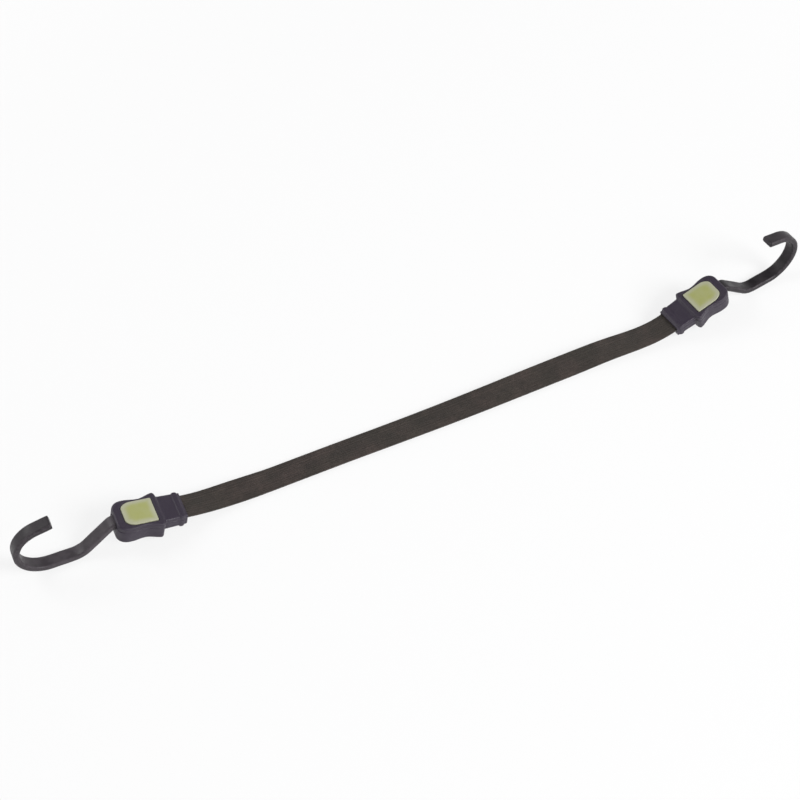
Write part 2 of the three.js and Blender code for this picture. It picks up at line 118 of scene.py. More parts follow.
class LieSettings(bpy.types.PropertyGroup):
    """How the cord lies on the table"""

    neck_x: size("Neck distance", "From the strap's middle to each neck mouth", 196)
    tilt: angle("End tilt", "Rise of each grip towards its hook", 15.4)
    left_yaw: angle("Left yaw", "Turn of the left end about the vertical", 0)
    right_yaw: angle("Right yaw", "Turn of the right end about the vertical", 7)
    lift: size("Lift length", "Stretch over which the strap rises to a neck", 55)
    bow: size("Bow", "Sideways bow of the strap's middle towards the front", 1.1)
    bow_x: size("Bow place", "Where the strap bows most", 25)
    roll: angle("Roll", "Tip of the strap towards the front where it doesn't lie quite flat", 13)
    roll_x: size("Roll place", "Where the strap tips most", 105)
    roll_before: size("Roll before", "Stretch over which the strap starts to tip", 165)
    roll_after: size("Roll after", "Stretch over which the strap lies flat again", 78)
    rise: size("Rise", "How far the strap stands off the table on its way to the right grip", 1.6)
    rise_x: size("Rise place", "Where it stands off most", 150)
    rise_reach: size("Rise reach", "Stretch over which it stands off", 45)
    left_roll: angle("Left roll", "Tip of the strap near the left grip", 6)
    left_roll_x: size("Left roll place", "Where the strap tips near the left grip", -158)
    left_roll_reach: size("Left roll reach", "Stretch over which it tips there", 34)


class StrapSettings(bpy.types.PropertyGroup):
    """The woven elastic strap"""

    width: size("Width", "Across the strap", (strap_high.y - strap_low.y) / MM)
    thickness: size("Thickness", "Through the strap", (strap_high.z - strap_low.z) / MM)
    corner: size("Edge round", "Roundness of the strap's edges", 1.3)
    ribs: IntProperty(name="Ribs", description="Lengthwise ribs over the strands", default=9, min=1)
    rib_depth: size("Rib depth", "Depth of the valleys between ribs", 0.22)
    step: size("Step", "Spacing of the rings along the strap", 1.6)
    warp_pitch: size("Warp pitch", "Spacing of the threads that run lengthwise", 1.05)
    weft_pitch: size("Weft pitch", "Spacing of the threads that run across", 0.8)
    thread: colour("Thread", "Raised threads of the weave", (0.0560, 0.0437, 0.0374))
    shade: colour("Valley", "Shaded gaps between the threads", (0.0162, 0.0135, 0.0126))
    tint: colour("Tint", "Warmer patches along the strap", (0.1140, 0.0823, 0.0714))
    olive: colour("Faded tint", "Greener patches along the strap", (0.0567, 0.0508, 0.0396))


class GripSettings(bpy.types.PropertyGroup):
    """The moulded grip, in its own frame: origin at the neck mouth, X out to the hook, Z to the pad"""

    fit: size("Fit", "Clearance round what passes through the grip", 0.3)
    seat_gap: size("Seat gap", "Clearance between seated pieces", 0.15)
    neck_length: size("Neck length", "From the mouth to the body", 17)
    neck_side_wall: size("Neck side wall", "Wall beside the strap", 0.9)
    neck_flare: size("Neck flare", "How much wider the neck is at the body", 0.9)
    neck_top_wall: size("Neck top wall", "Wall above the strap", 1.5)
    neck_bottom_wall: size("Neck bottom wall", "Wall below the strap", 4.8)
    neck_round: size("Neck round", "Roundness of the neck's edges", 1.4)
    rim_start: size("Rim start", "From the mouth to the raised rim", 2)
    rim_length: size("Rim length", "Rim along the neck", 4)
    rim_lip: size("Rim lip", "Height of the rim above the neck", 0.6)
    clamp_setback: size("Clamp setback", "From the body's start to the clamp", 1)
    clamp_grip: size("Clamp grip", "Clamp over the strap", 9)
    clamp_gap: size("Clamp gap", "Between the strap's end and the hook's tang", 1)
    clamp_lap: size("Clamp lap", "Clamp over the tang", 9)
    clamp_plate: size("Clamp plate", "Thickness of each plate", 1)
    clamp_inset: size("Clamp inset", "Plate inside each strap edge", 0.5)
    rivet_head: size("Rivet head", "Height of a rivet's head", 0.9)
    rivet_pocket: size("Rivet pocket", "Half width of the pocket for the rivet heads", 2.2)
    rivet_edge: size("Rivet edge", "From the clamp lap's ends to the rivets", 2.2)
    side_wall: size("Side wall", "Body wall beside the strap", 2.2)
    body_round: size("Body round", "Roundness of the body's edges", 1.3)
    top_wall: size("Top wall", "Body above the clamp", 1.5)
    bottom_wall: size("Bottom wall", "Body below the rivets", 6.5)
    nose_length: size("Nose length", "From the clamp to the nose", 13)
    nose_wall: size("Nose wall", "Wall beside the hook at the nose", 0.9)
    ear_flare: size("Ear flare", "Ears beyond the body's sides", 2.8)
    ear_reach: size("Ear reach", "From the body's start to the ears' tips", 2.2)
    scallop_reach: size("Scallop reach", "From the body's start to the finger scallops", 12.5)
    shoulder_flare: size("Shoulder flare", "Shoulders beyond the body's sides", 1.2)
    shoulder_reach: size("Shoulder reach", "From the shoulders to the nose", 8.5)
    shell_gap: size("Shell gap", "Parting line between the two shells", 0.2)
    seam_round: size("Seam round", "Softness of the edges along the parting line", 0.5)
    fillet: size("Fillet", "Blend between the neck and the body", 1.1)
    pitch: size("Mesh pitch", "Spacing of the lattice that the shells are skinned on", 0.42)
    plastic: colour("Plastic", "Moulded plastic of the shells", (0.0207, 0.0124, 0.0283))
    rubbed: colour("Rubbed edge", "Edges polished by use", (0.0552, 0.0455, 0.0635))
    dust: colour("Dust", "Faint dust in the texture", (0.0331, 0.0248, 0.0386))


class PadSettings(bpy.types.PropertyGroup):
    """The grip pad set into the top of each grip"""

    start: size("Start", "From the body's start to the pad", 4.4)
    nose_margin: size("Nose margin", "From the pad to the nose", 6)
    side_margin: size("Side margin", "From the pad to the body's sides", 2)
    taper: size("Taper", "Length of the rounded taper towards the nose", 7.5)
    nose_share: portion("Nose share", "Width at the nose end against the full width", 0.5)
    corner: size("Corner", "Roundness of the corners towards the strap", 1.6)
    depth: size("Depth", "Depth of the recess", 0.8)
    proud: size("Proud", "Height of the pad's edge above the grip", 0.5)
    edge: size("Edge", "Roundness of the pad's upper edge", 0.45)
    crown: size("Crown", "Rise of the pad's middle", 0.35)
    rim: size("Border", "Width of the paler border", 3.0)
    centre: colour("Centre", "Colour of the pad's middle", (0.3619, 0.3779, 0.1316))
    border: colour("Border colour", "Colour of the pad's border", (0.4324, 0.4371, 0.3102))


class HookSettings(bpy.types.PropertyGroup):
    """The strip hook with its dipped coat, as lines and arcs from the tang to the tip"""

    width: size("Width", "Across the coated strip", (hook_high.y - hook_low.y) / MM)
    thickness: size("Thickness", "Through the coated strip", 4.6)
    corner: size("Corner", "Roundness of the coated edges", 1.45)
    wall: size("Coat wall", "Thickness of the coat", 0.65)
    core_corner: size("Core corner", "Roundness of the bare strip's edges", 0.6)
    cover: size("Cover", "Coat inside the nose", 5)
    tip_cap: size("Tip cap", "Coat over the strip's end", 1.4)
    standoff: size("Standoff", "From the nose to the end of the first bend", 1.4)
    exit_radius: size("Exit radius", "First bend at the nose", 12)
    exit_angle: angle("Exit angle", "Turn of the first bend", 30.1)
    dip_radius: size("Dip radius", "Tighter bend into the shank", 5.9)
    dip_angle: angle("Dip angle", "Turn of the tighter bend", 22.6)
    shank: size("Shank", "Straight run down", 23.3)
    heel_radius: size("Heel radius", "Bend at the foot of the shank", 16.8)
    heel_angle: angle("Heel angle", "Turn of the heel", 40.8)
    sole: size("Sole", "Straight run along the table", 15.2)
    bowl_radius: size("Bowl radius", "Bend of the bowl", 21.3)
    bowl_angle: angle("Bowl angle", "Turn of the bowl", 167.9)
    tip: size("Tip", "Straight run at the tip", 11)
    step: size("Step", "Spacing of the rings along the hook", 0.9)
    swell: size("Swell", "Unevenness of the dipped coat", 0.07)
    # Painted light: the left coat is made paler from the grip towards the tip because more light falls
    # on it there, and the right coat gets none
    left_painted_light: portion("Left rub", "How far the left coat is rubbed pale where it leaves the grip", 0.9)
    right_painted_light: portion("Right rub", "How far the right coat is rubbed pale there", 0.0)
    tip_rub: portion("Tip rub", "How far both coats are rubbed pale at the tip", 0.24)
    vinyl: colour("Vinyl", "Dipped coat", (0.0110, 0.0090, 0.0110))
    # This pale colour is real scuffing on the patches, edges and tip, and painted light on the left
    # coat near the grip
    scuff_and_painted_light: colour("Scuff", "Rubbed places on the coat", (0.0900, 0.0775, 0.0875))


class FastenerSettings(bpy.types.PropertyGroup):
    """Screws that close the shells from below"""

    radius: size("Radius", "Crest of the thread", 1.2)
    root: size("Root", "Root of the thread", 0.85)
    lead: size("Lead", "Pitch of the thread", 1.0)
    head_radius: size("Head radius", "Screw head", 2.2)
    head: size("Head", "Height of the head", 1.7)
    recess: size("Recess", "Depth of the well below the head's seat", 3.5)
    offset: size("Offset", "From the clamp to the screws", 4.6)
    wall: size("Wall", "Between the hook's tang and the screws", 1.3)
    top_wall: size("Top wall", "Between a screw's point and the pad", 0.7)
    slot: size("Cross slot", "Width of the cross in the head", 0.55)
    slot_reach: size("Cross reach", "Half length of the cross", 1.25)
    slot_depth: size("Cross depth", "Depth of the cross", 0.9)
    pitch: size("Mesh pitch", "Spacing of the lattice that a screw is skinned on", 0.14)
    zinc: colour("Zinc", "Plated steel", (0.55, 0.56, 0.57))
    steel: colour("Steel", "Bare strip steel", (0.40, 0.40, 0.39))


class StageSettings(bpy.types.PropertyGroup):
    """Camera, floor and lights"""

    azimuth: angle("Azimuth", "Camera round the vertical, from the front", -22.55)
    elevation: angle("Elevation", "Camera above the table", 52.24)
    roll: angle("Roll", "Turn of the picture", -2.37)
    distance: size("Distance", "Camera to its target", 1098.8)
    target_x: size("Target X", "Point looked at, along the strap", -17.23)
    target_y: size("Target Y", "Point looked at, across the strap", 26.64)
    lens: FloatProperty(name="Lens", description="Focal length in millimetres", default=66.51)
    floor: colour("Floor", "Pale floor", (0.96, 0.96, 0.96))
    floor_half: size("Floor reach", "From the middle of the floor to its edges", 40000)
    floor_drop: size("Floor drop", "Gap between the floor and what lies on it", 0.05)
    touch: size("Touch", "How near to the floor a surface gets light from below", 4)
    veil: portion("Veil", "How much of the white room shows through the floor near the cord", 0.78)
    veil_near: size("Veil near", "Where the floor starts to fade into the room", 400)
    veil_far: size("Veil far", "Where the floor has faded into the room", 1000)
    ceiling: colour("Ceiling", "Shade of the room overhead", (0.27, 0.27, 0.28))
    room_power: FloatProperty(
        name="Room light", description="Strength of the room's light", default=0.70
    )
    lamp_size: size("Lamp size", "Side of each square lamp", 1700)


SETTINGS = {
    "lie": LieSettings,
    "strap": StrapSettings,
    "grip": GripSettings,
    "pad": PadSettings,
    "hook": HookSettings,
    "fastener": FastenerSettings,
    "stage": StageSettings,
}


def setting(name):
    return getattr(bpy.context.scene, "bungee_" + name)


# Places along the grip that several pieces share


class GripPlan:
    """Heights and distances of the grip, worked out from the settings"""

    def __init__(self):
        grip, hook, pad, strap = setting("grip"), setting("hook"), setting("pad"), setting("strap")
        fastener = setting("fastener")
        strap_half = strap.thickness / 2
        self.strap_half_width = strap.width / 2
        self.strap_space = strap_half + grip.fit
        self.clamp_start = grip.neck_length + grip.clamp_setback
        self.strap_end = self.clamp_start + grip.clamp_grip
        self.tang_start = self.strap_end + grip.clamp_gap
        self.clamp_end = self.tang_start + grip.clamp_lap
        self.nose_end = self.clamp_end + grip.nose_length
        self.plate_inner = strap_half + grip.seat_gap
        self.plate_outer = self.plate_inner + grip.clamp_plate
        self.rivet_foot = -(self.plate_outer + grip.seat_gap + grip.rivet_head)
        self.neck_half = self.strap_half_width + grip.fit + grip.neck_side_wall
        self.neck_top = self.strap_space + grip.neck_top_wall
        self.neck_bottom = -(self.strap_space + grip.neck_bottom_wall)
        self.body_half = self.strap_half_width + grip.fit + grip.side_wall
        self.top = self.plate_outer + grip.fit + grip.top_wall
        self.bottom = self.rivet_foot - grip.fit - grip.bottom_wall
        self.pad_floor = self.top - pad.depth
        self.core_half_width = hook.width / 2 - hook.wall - grip.seat_gap
        self.core_half = hook.thickness / 2 - hook.wall - grip.seat_gap
        self.bend_start = self.nose_end + hook.standoff - hook.exit_radius * math.sin(hook.exit_angle)
        self.coat_start = self.nose_end - hook.cover
        self.screw_x = self.clamp_end + fastener.offset
        shank_space = fastener.radius + grip.seat_gap
        self.screw_y = self.core_half_width + grip.fit + fastener.wall + shank_space
        self.screw_seat = self.bottom + fastener.recess
        self.screw_top = self.pad_floor - fastener.top_wall - grip.fit


def neck_height(plan):
    """Height of the neck mouths, found from the left clamp plate's lowest edge"""
    tilt = setting("lie").tilt
    lowest_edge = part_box("left_clamp_top")[0].z
    return lowest_edge - plan.clamp_start * math.sin(tilt) - plan.plate_inner * math.cos(tilt)


def grip_matrix(name, plan):
    """Place of one grip's own frame on the cord"""
    lie = setting("lie")
    side = SIDES[name]
    turn = math.pi - lie.left_yaw if side < 0 else lie.right_yaw
    place = Matrix.Translation((side * lie.neck_x, 0, neck_height(plan)))
    return place @ Matrix.Rotation(turn, 4, "Z") @ Matrix.Rotation(-lie.tilt, 4, "Y")


def placed(points, matrix):
    """Points of a grip's own frame, set down at its place on the cord"""
    spin = np.array(matrix.to_3x3())
    return points @ spin.T + np.array(matrix.translation)


# Meshes


def mesh_piece(name, points, faces, material):
    """A smooth-shaded mesh object from arrays of points and of vertex numbers"""
    mesh = bpy.data.meshes.new(name)
    mesh.from_pydata([tuple(p) for p in points], [], [tuple(f) for f in faces])
    mesh.materials.append(material)
    mesh.shade_smooth()
    mesh.update()
    piece = bpy.data.objects.new(name, mesh)
    bpy.context.scene.collection.objects.link(piece)
    return piece


def point_values(piece, name, values):
    """Keeps a number for each point, for the material to read"""
    layer = piece.data.attributes.new(name, "FLOAT", "POINT")
    layer.data.foreach_set("value", np.asarray(values, np.float32))


def ring_faces(rings, count, middles=False):
    """Quads between rings of points, and at each end a flat cap, or a fan to a middle point"""
    here = np.arange(count)
    after = (here + 1) % count
    starts = np.arange(rings - 1)[:, None] * count
    quads = np.stack(
        [starts + here, starts + after, starts + count + after, starts + count + here], axis=-1
    )
    sides = [list(q) for q in quads.reshape(-1, 4)]
    last = (rings - 1) * count
    if not middles:
        return sides + [list(here[::-1]), list(last + here)]
    first_middle, last_middle = rings * count, rings * count + 1
    first_fan = [(first_middle, b, a) for a, b in zip(here, after)]
    last_fan = [(last_middle, last + a, last + b) for a, b in zip(here, after)]
    return sides + first_fan + last_fan


def with_middles(rings):
    """Points of all rings, followed by the middle of the first ring and of the last"""
    return np.vstack([*rings, rings[0].mean(axis=0), rings[-1].mean(axis=0)])


def sharpen_caps(piece, rings, count):
    """Keeps the end caps flat in shading, so that a piece meets the next one without a seam"""
    ends = set(range(count)) | set(range((rings - 1) * count, rings * count))
    for edge in piece.data.edges:
        a, b = edge.vertices
        if a in ends and b in ends and a // count == b // count:
            edge.use_edge_sharp = True


def ring_map(piece, along, around, rings, count):
    """A UV map in metres: along the rings and round them"""
    layer = piece.data.uv_layers.new(name="threads")
    loops = len(piece.data.loops)
    vertex = np.empty(loops, np.int64)
    piece.data.loops.foreach_get("vertex_index", vertex)
    u = np.repeat(along, count)[vertex]
    v = np.tile(around[:-1], rings)[vertex]
    faces = len(piece.data.polygons)
    first = np.empty(faces, np.int64)
    total = np.empty(faces, np.int64)
    piece.data.polygons.foreach_get("loop_start", first)
    piece.data.polygons.foreach_get("loop_total", total)
    owner = np.repeat(np.arange(faces), total)
    widest = np.maximum.reduceat(v, first)[owner]
    v = np.where((total[owner] == 4) & (widest - v > around[-1] / 2), v + around[-1], v)
    layer.uv.foreach_set("vector", np.stack([u, v], axis=1).astype(np.float32).ravel())


def curve_points(a, b, c, d, steps):
    """Points of a cubic curve after its first point"""
    t = np.linspace(0, 1, steps + 1)[1:, None]
    a, b, c, d = (np.asarray(p, float) for p in (a, b, c, d))
    return (1 - t) ** 3 * a + 3 * (1 - t) ** 2 * t * b + 3 * (1 - t) * t**2 * c + t**3 * d


def rounded_section(half_width, half, corner, corner_steps, side_steps):
    """Points round a rounded rectangle, from its upper right corner"""
    quarter = np.linspace(0, math.pi / 2, corner_steps + 1)
    arc = np.stack([np.cos(quarter), np.sin(quarter)], axis=1) * corner
    top = np.linspace(half_width - corner, corner - half_width, side_steps + 1)[1:-1]
    right_up = arc + [half_width - corner, half - corner]
    left_up = np.stack([-arc[::-1, 0], arc[::-1, 1]], axis=1) + [corner - half_width, half - corner]
    upper = np.vstack([right_up, np.stack([top, np.full(len(top), half)], axis=1), left_up])
    return np.vstack([upper, -upper])


# Strap


def unit(vectors):
    return vectors / np.linalg.norm(vectors, axis=-1, keepdims=True)


def strap_line():
    """The strap's middle line from the left clamp to the right one, as closely spaced points"""
    plan, lie, strap = GripPlan(), setting("lie"), setting("strap")
    halves = []
    for name, side in SIDES.items():
        matrix = grip_matrix(name, plan)
        neck = np.array(matrix.translation)
        outward = np.array(matrix.to_3x3() @ Vector((1, 0, 0)))
        foot = np.array([neck[0] - side * lie.lift, 0, strap.thickness / 2])
        reach = lie.lift / 3
        lift = curve_points(foot, foot + [side * reach, 0, 0], neck - outward * reach, neck, steps=120)
        inside = np.linspace(neck, neck + outward * plan.strap_end, num=40)[1:]
        halves.append(np.vstack([foot, lift, inside]))
    left, right = halves
    flat = np.linspace(left[0], right[0], num=600)[1:-1]
    line = np.vstack([left[::-1], flat, right])
    x = line[:, 0]
    bow_reach = BOW_SHARE * lie.neck_x
    line[:, 1] -= lie.bow * hump(x, lie.bow_x, bow_reach, bow_reach)
    line[:, 2] += np.sin(strap_roll(x)) * strap.width / 2
    line[:, 2] += lie.rise * hump(x, lie.rise_x, lie.rise_reach, lie.rise_reach)
    return line


def hump(x, place, before, after):
    """A smooth rise to 1 at a place and back to 0"""
    share = np.where(x < place, (x - place) / before, (x - place) / after)
    return 0.5 + 0.5 * np.cos(math.pi * np.clip(share, -1, 1))


def strap_roll(x):
    """How far the strap tips towards the front at each X; its front edge stays on the table"""
    lie = setting("lie")
    middle = lie.roll * hump(x, lie.roll_x, lie.roll_before, lie.roll_after)
    left = lie.left_roll * hump(x, lie.left_roll_x, lie.left_roll_reach, lie.left_roll_reach)
    return middle + left


def values_at(at, run, rows):
    """Rows of three values, known at some distances along the strap, read at others"""
    return np.stack([np.interp(at, run, rows[:, k]) for k in range(3)], axis=1)


def strap_stations(first, last):
    """Even places along the strap from one X to another

    For each there is its distance along the strap, its point, and the ways across and up.
    """
    line = strap_line()
    run = np.concatenate([[0], np.cumsum(np.linalg.norm(np.diff(line, axis=0), axis=1))])
    along = unit(np.gradient(line, run, axis=0))
    level = unit(np.cross([0, 0, 1], along))
    square = np.cross(along, level)
    roll = strap_roll(line[:, 0])[:, None]
    across = np.cos(roll) * level + np.sin(roll) * square
    up = np.cross(along, across)
    begin, end = np.interp([first, last], line[:, 0], run)
    at = np.linspace(begin, end, int((end - begin) / setting("strap").step) + 2)
    points = values_at(at, run, line)
    return at, points, unit(values_at(at, run, across)), unit(values_at(at, run, up))


def strap_section():
    """Section of the strap, with shallow valleys between its lengthwise ribs"""
    strap = setting("strap")
    half = strap.thickness / 2
    rib_steps = 7
    section = rounded_section(
        strap.width / 2, half, strap.corner, corner_steps=5, side_steps=rib_steps * strap.ribs
    )
    reach = strap.width / 2 - strap.corner
    across = section[:, 0] / reach
    wave = 0.5 - 0.5 * np.cos(math.pi * strap.ribs * (across + 1))
    valley = strap.rib_depth * (1 - wave) * (np.abs(across) < 1)
    section[:, 1] -= np.sign(section[:, 1]) * valley
    return section


def strap_piece(name, first, last, material):
    """One closed stretch of the strap between two places on X, with its middle line"""
    at, points, across, up = strap_stations(first, last)
    section = strap_section()
    rings = points[:, None] + across[:, None] * section[:, :1] + up[:, None] * section[:, 1:]
    count = len(section)
    piece = mesh_piece(name, rings.reshape(-1, 3), ring_faces(len(points), count), material)
    steps = np.linalg.norm(np.diff(np.vstack([section, section[:1]]), axis=0), axis=1)
    around = np.concatenate([[0], np.cumsum(steps)])
    ring_map(piece, at, around, len(points), count)
    sharpen_caps(piece, len(points), count)
    return piece, points


# Solids skinned on a lattice: each is a field of distances, negative inside


class Lattice:
    """Evenly spaced points over a box, and the skin of a field given on them"""

    # Empty space before the box, in cells
    margin = 1.3

    def __init__(self, low, high, pitch):
        self.low = np.asarray(low, float) - self.margin * pitch
        self.pitch = pitch
        counts = np.ceil((np.asarray(high) - self.low) / pitch).astype(int) + 2
        axes = [self.low[k] + pitch * np.arange(counts[k]) for k in range(3)]
        self.x = axes[0][:, None, None]
        self.y = axes[1][None, :, None]
        self.z = axes[2][None, None, :]

    def skin(self, field):
        """Points and quads where the field is zero, with one point in each cell that it crosses"""
        cells = tuple(n - 1 for n in field.shape)
        total = np.zeros(cells + (3,))
        count = np.zeros(cells)
        crossings = []
        for axis in range(3):
            near = np.take(field, range(cells[axis]), axis)
            far = np.take(field, range(1, cells[axis] + 1), axis)
            crossed = (near < 0) != (far < 0)
            share = np.where(crossed, near / np.where(crossed, near - far, 1), 0)
            crossings.append((crossed, near < 0))
            others = [(axis + 1) % 3, (axis + 2) % 3]
            for a, b in ((0, 0), (0, 1), (1, 0), (1, 1)):
                cut = [slice(None)] * 3
                cut[others[0]] = slice(a, a + cells[others[0]])
                cut[others[1]] = slice(b, b + cells[others[1]])
                met = crossed[tuple(cut)]
                total[..., axis] += share[tuple(cut)]
                total[..., others[0]] += a * met
                total[..., others[1]] += b * met
                count += met
        used = count > 0
        number = np.full(cells, -1)
        number[used] = np.arange(used.sum())
        points = self.low + self.pitch * (np.argwhere(used) + total[used] / count[used][:, None])
        quads = []
        for axis, (crossed, outward) in enumerate(crossings):
            others = [(axis + 1) % 3, (axis + 2) % 3]
            inner = [slice(None)] * 3
            for k in others:
                inner[k] = slice(1, -1)
            place = np.argwhere(crossed[tuple(inner)])
            facing = outward[tuple(inner)][crossed[tuple(inner)]]
            corners = []
            for a, b in ((0, 0), (1, 0), (1, 1), (0, 1)):
                cell = place.copy()
                cell[:, others[0]] += a
                cell[:, others[1]] += b
                corners.append(number[tuple(cell.T)])
            quad = np.stack(corners, axis=1)
            quads.append(np.where(facing[:, None], quad, quad[:, ::-1]))
        return points, np.vstack(quads)


def outline_distance(outline, x, y):
    """Signed distance of lattice points from a closed outline, negative inside"""
    px, py = np.broadcast_arrays(x[..., 0], y[..., 0])
    nearest = np.full(px.shape, np.inf)
    inside = np.zeros(px.shape, bool)
    for (ax, ay), (bx, by) in zip(outline, np.roll(outline, -1, axis=0)):
        dx, dy = bx - ax, by - ay
        share = np.clip(((px - ax) * dx + (py - ay) * dy) / (dx * dx + dy * dy), 0, 1)
        nearest = np.minimum(nearest, np.hypot(px - ax - share * dx, py - ay - share * dy))
        if dy != 0:
            crosses = (py < by) != (py < ay)
            inside ^= crosses & (px < ax + (py - ay) * dx / dy)
    return np.where(inside, -nearest, nearest)[..., None]


def raised(lattice, outline, low, high, edge):
    """An outline raised from one height to another, with rounded edges"""
    side = outline_distance(outline, lattice.x, lattice.y) + edge
    end = np.abs(lattice.z - (low + high) / 2) - (high - low) / 2 + edge
    outside = np.hypot(np.maximum(side, 0), np.maximum(end, 0))
    return np.minimum(np.maximum(side, end), 0) + outside - edge


def slab(lattice, x0, x1, half_width, z0, z1):
    """A plain block across the grip's middle plane"""
    along = np.abs(lattice.x - (x0 + x1) / 2) - (x1 - x0) / 2
    across = np.abs(lattice.y) - half_width
    height = np.abs(lattice.z - (z0 + z1) / 2) - (z1 - z0) / 2
    return np.maximum(np.maximum(along, across), height)


def upright(lattice, x, y, radius, z0, z1):
    """A plain round post"""
    round_wall = np.hypot(lattice.x - x, lattice.y - y) - radius
    height = np.abs(lattice.z - (z0 + z1) / 2) - (z1 - z0) / 2
    return np.maximum(round_wall, height)


def soft_join(a, b, reach):
    """Union of two fields with a fillet where they meet"""
    near = np.maximum(reach - np.abs(a - b), 0) / reach
    return np.minimum(a, b) - near * near * reach / 4


def soft_cut(a, b, reach):
    """Common part of two fields with a rounded edge where they meet"""
    return -soft_join(-a, -b, reach)


def ridges(points, quads):
    """How far each point stands out: 0 on flat and hollow places, 1 on sharp edges"""
    sharp = 0.25
    smoothings = 2
    no_length = 1e-18
    edges = np.vstack([quads[:, [k, (k + 1) % 4]] for k in range(4)])
    corners = points[quads]
    facing = np.cross(corners[:, 2] - corners[:, 0], corners[:, 3] - corners[:, 1])
    normals = np.zeros_like(points)
    for k in range(4):
        np.add.at(normals, quads[:, k], facing)
    normals = unit(normals + no_length)
    away = unit(points[edges[:, 1]] - points[edges[:, 0]])
    total = np.zeros(len(points))
    count = np.zeros(len(points))
    np.add.at(total, edges[:, 0], -(normals[edges[:, 0]] * away).sum(axis=1))
    np.add.at(count, edges[:, 0], 1)
    value = total / np.maximum(count, 1)
    for _ in range(smoothings):
        spread = np.zeros(len(points))
        np.add.at(spread, edges[:, 0], value[edges[:, 1]])
        value = (value + spread / np.maximum(count, 1)) / 2
    return np.clip(value / sharp, 0, 1)


# Grips


def mirrored(half):
    """A closed outline from its upper half, which starts and ends on the middle line"""
    lower = half[1:-1][::-1] * [1, -1]
    return np.vstack([half, lower])


def body_outline(plan):
    """Plan of the grip's body: ears, finger scallops, shoulders and nose"""
    grip, hook = setting("grip"), setting("hook")
    ear = plan.body_half + grip.ear_flare
    shoulder = plan.body_half + grip.shoulder_flare
    nose = hook.width / 2 + grip.fit + grip.nose_wall
    start, end = grip.neck_length, plan.nose_end
    ear_x = start + grip.ear_reach
    scallop_x = start + grip.scallop_reach
    shoulder_x = end - grip.shoulder_reach
    sway = (shoulder_x - scallop_x) / 2
    half = [[(start, 0), (start, plan.neck_half)]]
    curves = [
        ((start, ear - grip.ear_flare / 2), (start + grip.ear_reach / 2, ear), (ear_x, ear)),
        (
            (ear_x + grip.ear_reach, ear),
            (scallop_x - grip.ear_reach, plan.body_half),
            (scallop_x, plan.body_half),
        ),
        (
            (scallop_x + sway, plan.body_half),
            (shoulder_x - sway, shoulder),
            (shoulder_x, shoulder),
        ),
        (
            (end - grip.shoulder_reach / 3, shoulder),
            (end, (shoulder + nose) / 2),
            (end, nose),
        ),
    ]
    for b, c, d in curves:
        half.append(curve_points(half[-1][-1], b, c, d, steps=14))
    half.append([(end, 0)])
    return mirrored(np.vstack(half))


def neck_outline(plan):
    grip = setting("grip")
    end = grip.neck_length + grip.ear_reach
    wide = plan.neck_half + grip.neck_flare
    return np.array([(0, -plan.neck_half), (end, -wide), (end, wide), (0, plan.neck_half)])


def rim_outline(plan):
    grip = setting("grip")
    section = rounded_section(
        grip.rim_length / 2,
        plan.neck_half + grip.rim_lip,
        grip.neck_round,
        corner_steps=4,
        side_steps=2,
    )
    return section + [grip.rim_start + grip.rim_length / 2, 0]


def pad_outline(plan, growth):
    """Plan of the pad: straight towards the strap, and a rounded taper towards the nose"""
    grip, pad = setting("grip"), setting("pad")
    start = grip.neck_length + pad.start - growth
    end = plan.nose_end - pad.nose_margin + growth
    side = plan.body_half - pad.side_margin + growth
    nose = (plan.body_half - pad.side_margin) * pad.nose_share + growth
    corner = [(start, side - pad.corner), (start, side), (start, side), (start + pad.corner, side)]
    half = [
        np.linspace((start, 0), corner[0], num=9),
        curve_points(*corner, steps=6),
        np.linspace(corner[3], (end - pad.taper, side), num=14)[1:],
        curve_points(
            (end - pad.taper, side),
            (end - pad.taper / 2, side),
            (end, (side + nose) / 2),
            (end, nose),
            steps=16,
        ),
        np.linspace((end, nose), (end, 0), num=7)[1:],
    ]
    return mirrored(np.vstack(half))


def grip_hollows(lattice, plan):
    """Ways for the strap and the hook, chambers for the clamp and its rivets, and the screw holes"""
    grip, hook, fastener = setting("grip"), setting("hook"), setting("fastener")
    fit = grip.fit
    clamp_half = plan.strap_half_width - grip.clamp_inset + fit
    plate_space = plan.plate_outer + fit
    rivet_first = plan.tang_start + grip.rivet_edge - grip.rivet_pocket
    rivet_last = plan.clamp_end - grip.rivet_edge + grip.rivet_pocket
    core_space = plan.core_half + fit
    blocks = [
        (-fit, plan.strap_end + fit, plan.strap_half_width + fit, -plan.strap_space, plan.strap_space),
        (plan.clamp_start - fit, plan.clamp_end + fit, clamp_half, -plate_space, plate_space),
        (rivet_first, rivet_last, grip.rivet_pocket, plan.rivet_foot - fit, 0),
        (plan.clamp_end, plan.nose_end, plan.core_half_width + fit, -core_space, core_space),
    ]
    hollows = [slab(lattice, *block) for block in blocks]
    bend = np.clip(lattice.x - plan.bend_start, 0, hook.exit_radius)
    drop = hook.exit_radius - np.sqrt(hook.exit_radius**2 - bend**2)
    coat_height = np.abs(lattice.z + drop) - hook.thickness / 2 - fit
    coat_side = np.abs(lattice.y) - hook.width / 2 - fit
    coat_end = plan.coat_start - fit - lattice.x
    hollows.append(np.maximum(np.maximum(coat_height, coat_side), coat_end))
    shank, head = fastener.radius + grip.seat_gap, fastener.head_radius + fit
    foot, tip = plan.screw_seat - fit, plan.screw_top + fit
    for y in (-plan.screw_y, plan.screw_y):
        hollows.append(upright(lattice, plan.screw_x, y, shank, foot, tip))
        hollows.append(upright(lattice, plan.screw_x, y, head, plan.bottom - 2 * fit, plan.screw_seat))
    return hollows


